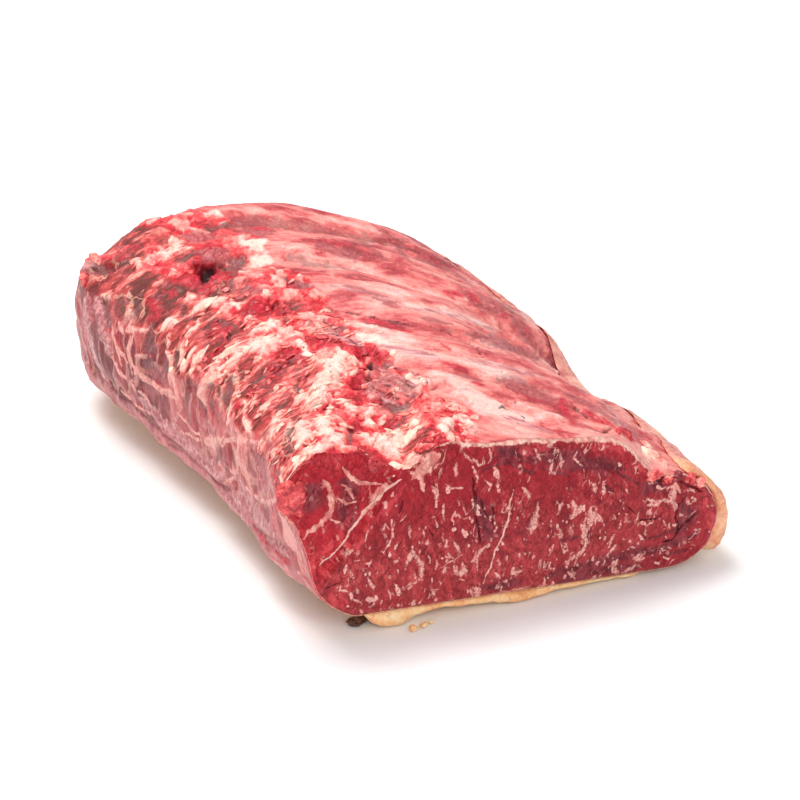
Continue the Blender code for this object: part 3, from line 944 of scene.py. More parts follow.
class Shader:
    """A material's nodes, ending in one Principled shader."""

    def __init__(self, name: str) -> None:
        """Makes an empty material.

        Args:
            name: Its name.
        """
        self.material = bpy.data.materials.new(name)
        self.material.use_nodes = True
        self.tree = self.material.node_tree
        self.tree.nodes.clear()
        self.place = Wire(self, self.node("ShaderNodeTexCoord", {}, {}).outputs["Object"])

    def node(self, kind: str, settings: dict, values: dict) -> bpy.types.Node:
        """Adds a node as add_node does, with wires for links."""
        sockets = {k: v.socket if isinstance(v, Wire) else v for k, v in values.items()}
        return add_node(self.tree, kind, settings, sockets)

    def stretched(self, scale: Point, turn: Point = (0.0, 0.0, 0.0)) -> Wire:
        """Gives the place, stretched for patterns that run one way.

        Args:
            scale: The scale along each axis.
            turn: The turn before it, in radians.

        Returns:
            The place.
        """
        turned = self.node("ShaderNodeMapping", {}, {"Vector": self.place, "Rotation": turn})
        node = self.node("ShaderNodeMapping", {}, {"Vector": turned.outputs[0], "Scale": scale})
        return Wire(self, node.outputs[0])

    def noise(
        self,
        size: float,
        place: Wire | None = None,
        detail: float = 4.0,
        rough: float = 0.55,
        bend: float = 0.0,
    ) -> Wire:
        """Adds smooth noise.

        Args:
            size: One wave's length in millimetres.
            place: Where it is read.
            detail: How many finer layers it has.
            rough: How strong those are.
            bend: How much it is warped.

        Returns:
            Values around 0.5.
        """
        values = {"Vector": place or self.place, "Scale": 1000 / size, "Detail": detail}
        values |= {"Roughness": rough, "Distortion": bend}
        return Wire(self, self.node("ShaderNodeTexNoise", {}, values).outputs[0])

    def cells(self, size: float, place: Wire | None = None, feature: str = "F1") -> bpy.types.Node:
        """Adds a Voronoi node whose cells are size millimetres wide."""
        values = {"Vector": place or self.place, "Scale": 1000 / size}
        return self.node("ShaderNodeTexVoronoi", {"feature": feature}, values)

    def field(self, name: str) -> Wire:
        """Reads a number that the mesh holds at its points."""
        node = self.node("ShaderNodeAttribute", {"attribute_name": name}, {})
        return Wire(self, node.outputs["Fac"])

    def mix(self, share: Wire | float, first: Wire | Colour, second: Wire | Colour) -> Wire:
        """Mixes two colours.

        Args:
            share: How much of the second there is.
            first: The first colour.
            second: The second colour.

        Returns:
            The mixed colour.
        """
        settings = {"data_type": "RGBA", "clamp_factor": True}
        node = self.node("ShaderNodeMix", settings, {0: share, 6: first, 7: second})
        return Wire(self, node.outputs[2])

    def ramp(self, value: Wire, stops: Ramp) -> Wire:
        """Turns a value into a colour between stops."""
        node = self.node("ShaderNodeValToRGB", {"stops": stops}, {0: value})
        return Wire(self, node.outputs[0])

    def finish(
        self, colour: Wire, rough: Wire | float, height: Wire, depth: float, gloss: "Gloss"
    ) -> Material:
        """Wires the surface.

        Args:
            colour: Its colour.
            rough: Its roughness.
            height: Its fine relief.
            depth: That relief's depth in millimetres.
            gloss: Its wetness and soaking.

        Returns:
            The material.
        """
        values = {"Height": height, "Strength": 1.0, "Distance": depth * MM}
        bump = self.node("ShaderNodeBump", {}, values)
        values = {"Base Color": colour, "Roughness": rough, "Normal": bump.outputs[0]}
        surface = self.node("ShaderNodeBsdfPrincipled", {}, values | gloss.sockets())
        self.node("ShaderNodeOutputMaterial", {}, {"Surface": surface.outputs[0]})
        return self.material


@dataclass(frozen=True)
class Gloss:
    """Constant wetness and depth of a raw surface."""

    coat: float = 0.25
    coat_rough: float = 0.22
    soak: float = 0.18
    soak_depth: float = 0.0035
    specular: float = 0.5

    def sockets(self) -> dict:
        """Gives the shader's constant sockets.

        Returns:
            Their values by name.
        """
        return {
            "Coat Weight": self.coat,
            "Coat Roughness": self.coat_rough,
            "Subsurface Weight": self.soak,
            "Subsurface Radius": (1.0, 0.35, 0.25),
            "Subsurface Scale": self.soak_depth,
            "Specular IOR Level": self.specular,
        }


@dataclass(frozen=True)
class CutLean:
    """The marbled meat of the cut end."""

    meat: Ramp = (
        (0.38, (0.12, 0.006, 0.012)), (0.46, (0.235, 0.012, 0.02)),
        (0.54, (0.4, 0.028, 0.036)), (0.64, (0.6, 0.08, 0.082)),
    )
    chain: Ramp = (
        (0.38, (0.19, 0.004, 0.012)), (0.47, (0.42, 0.014, 0.026)),
        (0.56, (0.66, 0.04, 0.05)), (0.68, (0.86, 0.18, 0.17)),
    )
    warm: Ramp = (
        (0.38, (0.3, 0.022, 0.028)), (0.52, (0.56, 0.06, 0.066)),
        (0.66, (0.76, 0.16, 0.15)),
    )
    layers: tuple[tuple[float, ...], ...] = (
        (1.9, 0.6, 0.26, 0.15, 0.78),
        (3.0, 0.46, 0.27, 0.0, 0.66),
        (4.6, 0.38, 0.23, 0.4, 0.58),
        (6.8, 0.32, 0.18, 0.1, 0.56),
    )

    def make(self) -> Material:
        """Makes the material.

        Returns:
            The material.
        """
        s = Shader("cut_lean")
        grain = s.noise(3.0, s.stretched((1.0, 0.3, 0.5), (0.0, 0.3, 0.0)), 6.0, 0.64, 0.4)
        broad = s.noise(24.0, None, 3.0)
        fine = s.noise(1.1, None, 4.0, 0.6)
        drawn = s.stretched((1.0, 0.05, 0.55), (0.0, 0.35, 0.0))
        bundle = Wire(s, s.cells(3.6, drawn, "DISTANCE_TO_EDGE").outputs["Distance"])
        split = (bundle + (grain - 0.5) * 0.4).ease(0.07, 0.0) * broad.ease(0.46, 0.58)
        tone = grain * 0.46 + broad * 0.28 + fine * 0.26
        colour = s.mix(s.field("chain"), s.ramp(tone, self.meat), s.ramp(tone, self.chain))
        colour = s.mix(split * 0.35, colour, (0.115, 0.006, 0.012))
        colour = s.mix(s.field("warm") * 0.45, colour, s.ramp(tone, self.warm))
        cool = s.field("cool") * (grain + 0.55)
        colour = s.mix(cool, colour, (0.37, 0.002, 0.014))
        # Dark strokes: dark tissue, and in part painted shade beside the hole and the cracks.
        dark = (s.field("dark") + (grain - 0.5) * 1.6).ease(0.2, 0.85)
        stain_and_shade = s.mix(grain.ease(0.4, 0.62), (0.08, 0.008, 0.016), (0.25, 0.042, 0.054))
        colour = s.mix(dark * 0.8, colour, stain_and_shade)
        blood = (s.field("blood") + (grain - 0.5) * 1.6).ease(0.25, 0.8)
        stain_and_shade = s.mix(grain.ease(0.4, 0.6), (0.46, 0.018, 0.03), (0.72, 0.075, 0.085))
        colour = s.mix(blood * 0.6, colour, stain_and_shade)
        flecks = self.flecks(s, grain) * (1.0 - s.field("chain") * 0.6)
        pale = s.mix(fine.ease(0.36, 0.56), (0.66, 0.18, 0.17), (0.93, 0.5, 0.43))
        colour = s.mix(flecks, colour, pale)
        ragged = (s.noise(1.7, None, 4.0) - 0.5) * 1.1
        patch = (s.field("fleck") + ragged + (fine - 0.5) * 0.8).ease(0.3, 0.86)
        pale = s.mix(fine.ease(0.36, 0.6), (0.66, 0.18, 0.17), (0.92, 0.5, 0.43))
        colour = s.mix(patch * 0.92, colour, pale)
        rim = (s.field("rim") + ragged * 0.8).ease(0.4, 0.66)
        colour = s.mix(rim, colour, s.mix(grain.ease(0.4, 0.6), (0.8, 0.29, 0.24), (0.94, 0.6, 0.5)))
        fat = (s.field("fat") + ragged * 0.9).ease(0.34, 0.62)
        colour = s.mix(fat, colour, s.mix(grain.ease(0.4, 0.6), (0.66, 0.18, 0.16), (0.86, 0.41, 0.34)))
        seam = (s.field("seam") + ragged * 0.3).ease(0.36, 0.58)
        colour = s.mix(seam, colour, s.mix(fine, (0.8, 0.36, 0.3), (0.94, 0.62, 0.55)))
        # Cracks get painted shade.
        crack = (s.field("crack") + ragged * 0.4).ease(0.26, 0.74)
        colour = s.mix(crack * 0.75, colour, (0.07, 0.004, 0.009))
        # The pits and the hole get painted shade, nearly black.
        pit = (s.field("pit") + ragged * 0.4).ease(0.26, 0.74)
        colour = s.mix(pit * 0.9, colour, (0.04, 0.003, 0.006))
        fibre = s.noise(1.2, s.stretched((1.0, 1.0, 0.22), (0.0, -0.55, 0.0)), 4.0, 0.6, 0.3)
        colour = s.mix(fibre.ease(0.56, 0.7) * 0.35, colour, (0.74, 0.15, 0.15))
        colour = s.mix(fibre.ease(0.44, 0.32) * 0.45, colour, (0.1, 0.004, 0.008))
        height = grain + fine * 0.45 + fibre * 0.5 + flecks * 0.2 - crack * 0.6 - split * 0.35
        rough = 0.3 + s.noise(4.0) * 0.3
        return s.finish(colour, rough, height, 1.2, Gloss(0.1, 0.1, 0.02, 0.0025, 0.16))

    def flecks(self, s: Shader, grain: Wire) -> Wire:
        """Draws short streaks and thin branching lines of fat.

        Args:
            s: The shader that they are added to.
            grain: The meat's own noise.

        Returns:
            How much fat there is.
        """
        warp = s.node("ShaderNodeTexNoise", {}, {"Vector": s.place, "Scale": 260.0, "Detail": 4.0})
        leaning = s.field("leaning")
        total = None
        for size, thin, radius, turn, rare in self.layers:
            upright = s.stretched((1.0, 0.02, thin), (0.0, turn, 0.0))
            slanted = s.stretched((1.0, 0.02, thin), (0.0, turn + 0.95, 0.0))
            start = s.node("ShaderNodeMix", {"data_type": "VECTOR"}, {0: leaning, 4: upright, 5: slanted})
            values = {0: warp.outputs["Color"], "Scale": size * 0.0011}
            shift = s.node("ShaderNodeVectorMath", {"operation": "SCALE"}, values)
            values = {0: start.outputs[1], 1: shift.outputs[0]}
            place = s.node("ShaderNodeVectorMath", {"operation": "ADD"}, values)
            cell = s.cells(size, Wire(s, place.outputs[0]))
            pick = s.node("ShaderNodeSeparateColor", {}, {"Color": cell.outputs["Color"]})
            keep = (Wire(s, pick.outputs[0]) + (s.field("many") - 0.5) * 0.5).ease(rare, rare + 0.2)
            uneven = Wire(s, pick.outputs[1]) * 0.12 + (grain - 0.5) * 0.4
            spot = (radius + uneven - Wire(s, cell.outputs["Distance"])).ease(0.0, 0.09)
            mark = spot * keep
            total = mark if total is None else total.top(mark)
        line = (s.noise(10.0, s.stretched((1.0, 0.05, 0.5), (0.0, -0.3, 0.0)), 3.0, 0.5, 0.5) - 0.5).gap()
        kept = s.noise(8.0, s.stretched((1.0, 1.0, 1.0), (0.4, 1.0, 0.4)), 2.0).ease(0.55, 0.61)
        return total.top(line.ease(0.02, 0.006) * kept * 0.8)


@dataclass(frozen=True)
class LoinSkin:
    """The outside of the lean: bone side, rib beds, films and left wall."""

    chine: Ramp = (
        (0.0, (0.36, 0.004, 0.012)), (0.22, (0.68, 0.018, 0.032)),
        (0.4, (0.86, 0.085, 0.085)), (0.56, (0.93, 0.205, 0.18)),
        (0.74, (0.97, 0.37, 0.315)), (1.0, (0.98, 0.64, 0.55)),
    )
    shoulder: Ramp = (
        (0.0, (0.15, 0.026, 0.02)), (0.25, (0.38, 0.04, 0.038)),
        (0.45, (0.62, 0.075, 0.072)), (0.62, (0.84, 0.17, 0.145)),
        (0.8, (0.95, 0.37, 0.3)), (1.0, (0.97, 0.6, 0.5)),
    )
    ribs: Ramp = (
        (0.0, (0.34, 0.026, 0.036)), (0.25, (0.56, 0.075, 0.08)),
        (0.42, (0.74, 0.165, 0.15)), (0.6, (0.8, 0.28, 0.24)),
        (0.8, (0.83, 0.385, 0.34)), (1.0, (0.87, 0.55, 0.49)),
    )
    # The left wall's mauve film, darkened in part as painted shade of the side, which the overhead light
    # reaches less than the top.
    film: Ramp = (
        (0.0, (0.2, 0.026, 0.028)), (0.25, (0.36, 0.042, 0.048)),
        (0.5, (0.51, 0.07, 0.076)), (0.72, (0.66, 0.145, 0.14)),
        (1.0, (0.86, 0.35, 0.31)),
    )
    meat: Ramp = (
        (0.38, (0.085, 0.018, 0.02)), (0.52, (0.23, 0.045, 0.05)),
        (0.64, (0.44, 0.125, 0.12)),
    )
    grey: Ramp = (
        (0.38, (0.06, 0.022, 0.02)), (0.52, (0.175, 0.07, 0.064)),
        (0.64, (0.36, 0.165, 0.145)),
    )
    wine: Ramp = (
        (0.38, (0.23, 0.034, 0.046)), (0.52, (0.42, 0.085, 0.092)),
        (0.64, (0.64, 0.19, 0.18)),
    )
    silver: Ramp = (
        (0.38, (0.36, 0.08, 0.1)), (0.5, (0.6, 0.21, 0.215)),
        (0.64, (0.82, 0.44, 0.41)),
    )
    front: Ramp = (
        (0.4, (0.34, 0.012, 0.022)), (0.52, (0.62, 0.05, 0.055)),
        (0.62, (0.84, 0.22, 0.19)),
    )
    hem: Ramp = ((0.4, (0.5, 0.12, 0.135)), (0.62, (0.79, 0.34, 0.33)))
    slant: Point = (0.0, 0.0, 0.62)
    drawn: Point = (0.0, 0.0, 0.25)

    def make(self) -> Material:
        """Makes the material.

        Returns:
            The material.
        """
        s = Shader("loin_skin")
        mottle = s.noise(6.0, None, 7.0, 0.66, 0.8)
        fine = s.noise(1.7, None, 6.0, 0.64, 0.5)
        far, rib, shoulder = s.field("far"), s.field("rib"), s.field("shoulder")
        uneven = (mottle - 0.5) * 1.5 + (fine - 0.5) * (0.95 - far * 0.55)
        mixed = mottle * 0.5 + fine * 0.5
        pull = s.field("fat") * 0.85 - s.field("blood") * 0.75
        pick = s.field("pick") * 0.72 + 0.11
        chine = s.ramp(pick + uneven + pull - 0.03 - far * 0.04, self.chine)
        hairs = s.noise(1.5, s.stretched((0.16, 1.0, 0.16), self.drawn), 5.0, 0.6, 0.5)
        streak = s.noise(3.4, s.stretched((0.14, 1.0, 0.14), self.drawn), 6.0, 0.62, 0.7)
        along = (streak - 0.5) * 2.4 + (hairs - 0.5) * 1.2
        tone = pick * 0.8 + 0.02 + along + (fine - 0.5) * 0.5 + pull - far * 0.19
        colour = s.mix(shoulder.ease(0.15, 0.85), chine, s.ramp(tone, self.shoulder))
        bed = s.noise(4.6, s.stretched((0.42, 1.0, 1.0), self.slant), 7.0, 0.66, 0.8)
        broad = s.noise(19.0, s.stretched((0.5, 1.0, 1.0), self.slant), 7.0, 0.64, 0.6)
        lines = s.noise(3.0, s.stretched((0.1, 1.0, 1.0), self.slant), 4.0, 0.5, 0.3)
        lines = (lines - 0.5).gap().ease(0.02, 0.004)
        tone = 0.5 + (bed - 0.5) * 1.1 + (broad - 0.5) * 2.3 + (fine - 0.5) * 0.35
        tone = tone + pull * (0.6 - far * 0.25) - far * 0.2
        ribs = s.mix(lines * 0.2, s.ramp(tone, self.ribs), (0.52, 0.2, 0.23))
        colour = s.mix(rib.ease(0.3, 0.7), colour, ribs)
        colour = s.mix(s.field("wall").ease(0.25, 0.75), colour, self.wall(s, mottle, fine, pull))
        patchy = s.noise(9.0, None, 6.0, 0.62, 0.6)
        # Dark strokes turn to dark meat and grey: dark tissue, and in part painted shade in creases and along
        # steps.
        dark = s.field("dark") + uneven * 0.35 + (bed - 0.5) * 0.9
        dark = (dark + (patchy - 0.5) * rib * 3.0).ease(0.2, 0.95)
        meat = s.ramp(fine * 0.5 + bed * 0.5, self.meat)
        meat = s.mix(shoulder.top(far * 0.25), meat, s.ramp(mixed, self.grey))
        colour = s.mix(dark * (0.92 - rib * 0.36), colour, meat)
        border = s.field("dark") + uneven * 0.2
        border = border.ease(0.14, 0.28) * border.ease(0.46, 0.32) * shoulder
        colour = s.mix(border * 0.7, colour, (0.8, 0.4, 0.29))
        wine = (s.field("wine") + uneven * 0.7).ease(0.25, 0.8)
        colour = s.mix(wine * 0.8, colour, s.ramp(mixed, self.wine))
        blood = (s.field("blood") + uneven * 0.8).ease(0.46, 0.85)
        stain_and_shade = s.mix(fine.ease(0.4, 0.6), (0.42, 0.004, 0.016), (0.8, 0.03, 0.06))
        colour = s.mix(blood * 0.7, colour, stain_and_shade)
        film = (s.field("film") + uneven * 0.4).ease(0.3, 0.7)
        thin = s.noise(2.6, s.stretched((0.12, 1.0, 1.0), self.slant), 5.0, 0.6, 0.3)
        colour = s.mix(film * 0.85, colour, s.ramp(thin, self.silver))
        # Cracks get painted shade.
        crack = (s.field("crack") + (fine - 0.5) * 0.25).ease(0.22, 0.72)
        colour = s.mix(crack * 0.78, colour, (0.12, 0.006, 0.012))
        # The pits get painted shade, from dark red at their rim to nearly black in the middle.
        pit = (s.field("pit") + (fine - 0.5) * 0.25).ease(0.22, 0.72)
        colour = s.mix(pit * 0.96, colour, s.mix(pit, (0.16, 0.004, 0.01), (0.02, 0.001, 0.003)))
        between = s.field("edge").ease(0.1, 0.0) * mottle.ease(0.42, 0.55) * (1.0 - rib)
        colour = s.mix(between * 0.55, colour, (0.34, 0.02, 0.03))
        front = (s.field("front") + (mottle - 0.5) * 1.4).ease(0.3, 0.6)
        colour = s.mix(front, colour, s.ramp(mixed, self.front))
        below = s.mix(fine.ease(0.42, 0.58), (0.6, 0.24, 0.14), (0.84, 0.5, 0.32))
        colour = s.mix(s.field("under"), colour, below)
        height = mottle * 0.8 + fine * 0.7 + streak * shoulder * 1.2 + bed * rib * 0.5 - crack * 0.5
        rough = 0.34 + s.noise(4.0) * 0.28
        return s.finish(colour, rough, height, 1.2, Gloss(0.18, 0.1, 0.04, 0.003, 0.28))

    def wall(self, s: Shader, mottle: Wire, fine: Wire, pull: Wire) -> Wire:
        """Draws the film of the left wall, its colour darkened in part as painted shade of the side, with
        meat between upright threads.

        Args:
            s: The shader.
            mottle: Broad noise.
            fine: Fine noise.
            pull: Where fat or blood shifts the tone.

        Returns:
            The colour.
        """
        vein = (s.field("fat") + (mottle - 0.5) * 0.9 + (fine - 0.5) * 0.5).ease(0.36, 0.62)
        fibre = s.noise(2.4, s.stretched((0.5, 1.0, 0.16), (0.2, 0.0, 0.0)), 6.0, 0.64, 0.5)
        broad = s.noise(17.0, s.stretched((0.6, 1.0, 0.5), (0.2, 0.0, 0.0)), 4.0, 0.6, 0.7)
        tone = 0.12 + s.field("pick") * 0.8 + (fibre - 0.5) * 1.1 + (broad - 0.5) * 1.1
        tone = tone + (fine - 0.5) * 0.8 + pull * 0.8 - s.field("far").ease(0.0, 0.9) * 0.44 + 0.04
        border = (s.field("edge") + (fine - 0.5) * 0.1).ease(0.13, 0.03)
        border = border * (mottle + fine * 0.3).ease(0.5, 0.64)
        pale = s.mix(fine.ease(0.4, 0.6), (0.74, 0.28, 0.25), (0.9, 0.48, 0.4))
        colour = s.mix((border * 0.75).top(vein * 0.85), s.ramp(tone, self.film), pale)
        hem = s.ramp(fibre * 0.4 + mottle * 0.6, self.hem)
        return s.mix(s.field("hem") * 0.7, colour, hem)


@dataclass(frozen=True)
class RawFat:
    """Creamy raw fat, with films and stains towards the right side."""

    cream: Ramp = (
        (0.36, (0.74, 0.31, 0.11)), (0.46, (0.93, 0.51, 0.235)),
        (0.55, (0.96, 0.65, 0.35)), (0.66, (0.97, 0.78, 0.52)),
    )
    flap: Ramp = (
        (0.38, (0.58, 0.19, 0.095)), (0.5, (0.78, 0.365, 0.2)),
        (0.62, (0.87, 0.53, 0.34)),
    )
    side: Ramp = (
        (0.38, (0.42, 0.095, 0.09)), (0.47, (0.62, 0.2, 0.165)),
        (0.55, (0.76, 0.33, 0.255)), (0.66, (0.86, 0.54, 0.42)),
    )

    def make(self) -> Material:
        """Makes the material.

        Returns:
            The material.
        """
        s = Shader("cap_fat")
        broad = s.noise(13.0, None, 5.0, 0.6, 0.4)
        fine = s.noise(2.0, None, 6.0, 0.62, 0.3)
        tone = broad * 0.62 + fine * 0.38
        stains = s.noise(6.0, None, 6.0, 0.65, 0.7)
        cream = s.mix(s.field("flap"), s.ramp(tone, self.cream), s.ramp(tone, self.flap))
        colour = s.mix(stains.ease(0.56, 0.68) * 0.6, cream, (0.7, 0.15, 0.11))
        side = (s.field("side") + (stains - 0.5) * 1.2).ease(0.35, 0.65)
        colour = s.mix(side, colour, s.ramp(tone, self.side))
        height = broad * 0.6 + fine * 0.8
        return s.finish(colour, 0.38 + fine * 0.25, height, 0.8, Gloss(0.08, 0.2, 0.12, 0.004, 0.35))


@dataclass(frozen=True)
class LumpTissue:
    """Lumps and crumbs of fat and meat, from red to cream by their own tone."""

    stops: Ramp = (
        (0.0, (0.16, 0.006, 0.012)), (0.2, (0.42, 0.014, 0.024)),
        (0.38, (0.74, 0.075, 0.078)), (0.55, (0.88, 0.22, 0.185)),
        (0.74, (0.96, 0.43, 0.35)), (1.0, (0.97, 0.71, 0.56)),
    )

    def make(self) -> Material:
        """Makes the material.

        Returns:
            The material.
        """
        s = Shader("lump_tissue")
        broad = s.noise(5.0, None, 5.0, 0.6, 0.6)
        fine = s.noise(1.4, None, 5.0, 0.62, 0.3)
        tone = s.field("tone") + (broad - 0.5) * 1.1 + (fine - 0.5) * 0.8
        colour = s.ramp(tone, self.stops)
        height = broad * 0.7 + fine * 0.6
        return s.finish(colour, 0.28 + fine * 0.3, height, 0.7, Gloss(0.22, 0.1, 0.1, 0.003, 0.35))


@dataclass(frozen=True)
class Scrap:
    """The small dried scrap beside the foot."""

    def make(self) -> Material:
        """Makes the material.

        Returns:
            The material.
        """
        s = Shader("dried_scrap")
        fine = s.noise(1.5, None, 5.0)
        colour = s.ramp(fine, ((0.35, (0.045, 0.014, 0.008)), (0.62, (0.15, 0.045, 0.026))))
        return s.finish(colour, 0.5, fine, 0.3, Gloss(0.1, 0.3, 0.02, 0.001))


@dataclass(frozen=True)
class PaleFloor:
    """The pale floor."""

    def make(self) -> Material:
        """Makes the material.

        Returns:
            The material.
        """
        s = Shader("pale_floor")
        fine = s.noise(60.0, None, 3.0)
        colour = s.ramp(fine, ((0.4, (0.905, 0.905, 0.905)), (0.6, (0.925, 0.925, 0.925))))
        return s.finish(colour, 0.9, fine, 0.05, Gloss(0.0, 0.5, 0.0, 0.001, 0.1))


def ring_faces(count: int, around: int) -> Array:
    """Gives the faces between rings of points that come back on themselves.

    Args:
        count: How many rings there are.
        around: The points in each.

    Returns:
        The points of each face.
    """
    index = np.arange(count * around).reshape(count, around)
    after = np.roll(index, -1, axis=1)
    return np.stack([index[:-1], after[:-1], after[1:], index[1:]], -1).reshape(-1, 4)


def border(grid: Array) -> Array:
    """Gives a grid's outer rows and columns, once around."""
    return np.concatenate([grid[0, :-1], grid[:-1, -1], grid[-1, :0:-1], grid[:0:-1, 0]])


def make_plain(piece: Piece) -> bpy.types.Mesh:
    """Gives a piece the plain mesh that its modifiers make of it.

    Args:
        piece: The piece.

    Returns:
        The mesh.
    """
    shaped = piece.evaluated_get(bpy.context.evaluated_depsgraph_get())
    mesh = bpy.data.meshes.new_from_object(shaped)
    piece.modifiers.clear()
    piece.data = mesh
    mesh.name = piece.name
    return mesh


def new_piece(name: str, points: Array, faces: list, fields: Fields) -> Piece:
    """Makes a smooth piece from points and faces.

    Args:
        name: The piece's name.
        points: Its points.
        faces: The points of each face, flat where more than four.
        fields: Numbers for each point.

    Returns:
        The piece.
    """
    mesh = bpy.data.meshes.new(name)
    mesh.from_pydata(points.reshape(-1, 3).tolist(), [], faces)
    for key, values in fields.items():
        hold(mesh, key, values)
    mesh.shade_smooth()
    for polygon in mesh.polygons[-2:]:
        polygon.use_smooth = len(polygon.vertices) <= 4
    return put(name, mesh)


def join_parts(parts: list[tuple[Array, list]]) -> tuple[Array, list]:
    """Joins the points and faces of several parts.

    Args:
        parts: The points and faces of each.

    Returns:
        All points and all faces.
    """
    points, faces = [], []
    for shaped, around in parts:
        faces += [[i + len(points) for i in face] for face in around]
        points += shaped.tolist()
    return np.array(points), faces


def closed_mesh(name: str, rings: Array, fields: Fields) -> Piece:
    """Makes a closed mesh from rings that run around the loin.

    Args:
        name: The piece's name.
        rings: The points, front ring first.
        fields: Numbers for each point.

    Returns:
        The piece.
    """
    count, around = rings.shape[:2]
    ring = np.arange(around)
    ends = [ring[::-1].tolist(), (ring + (count - 1) * around).tolist()]
    return new_piece(name, rings, ring_faces(count, around).tolist() + ends, fields)


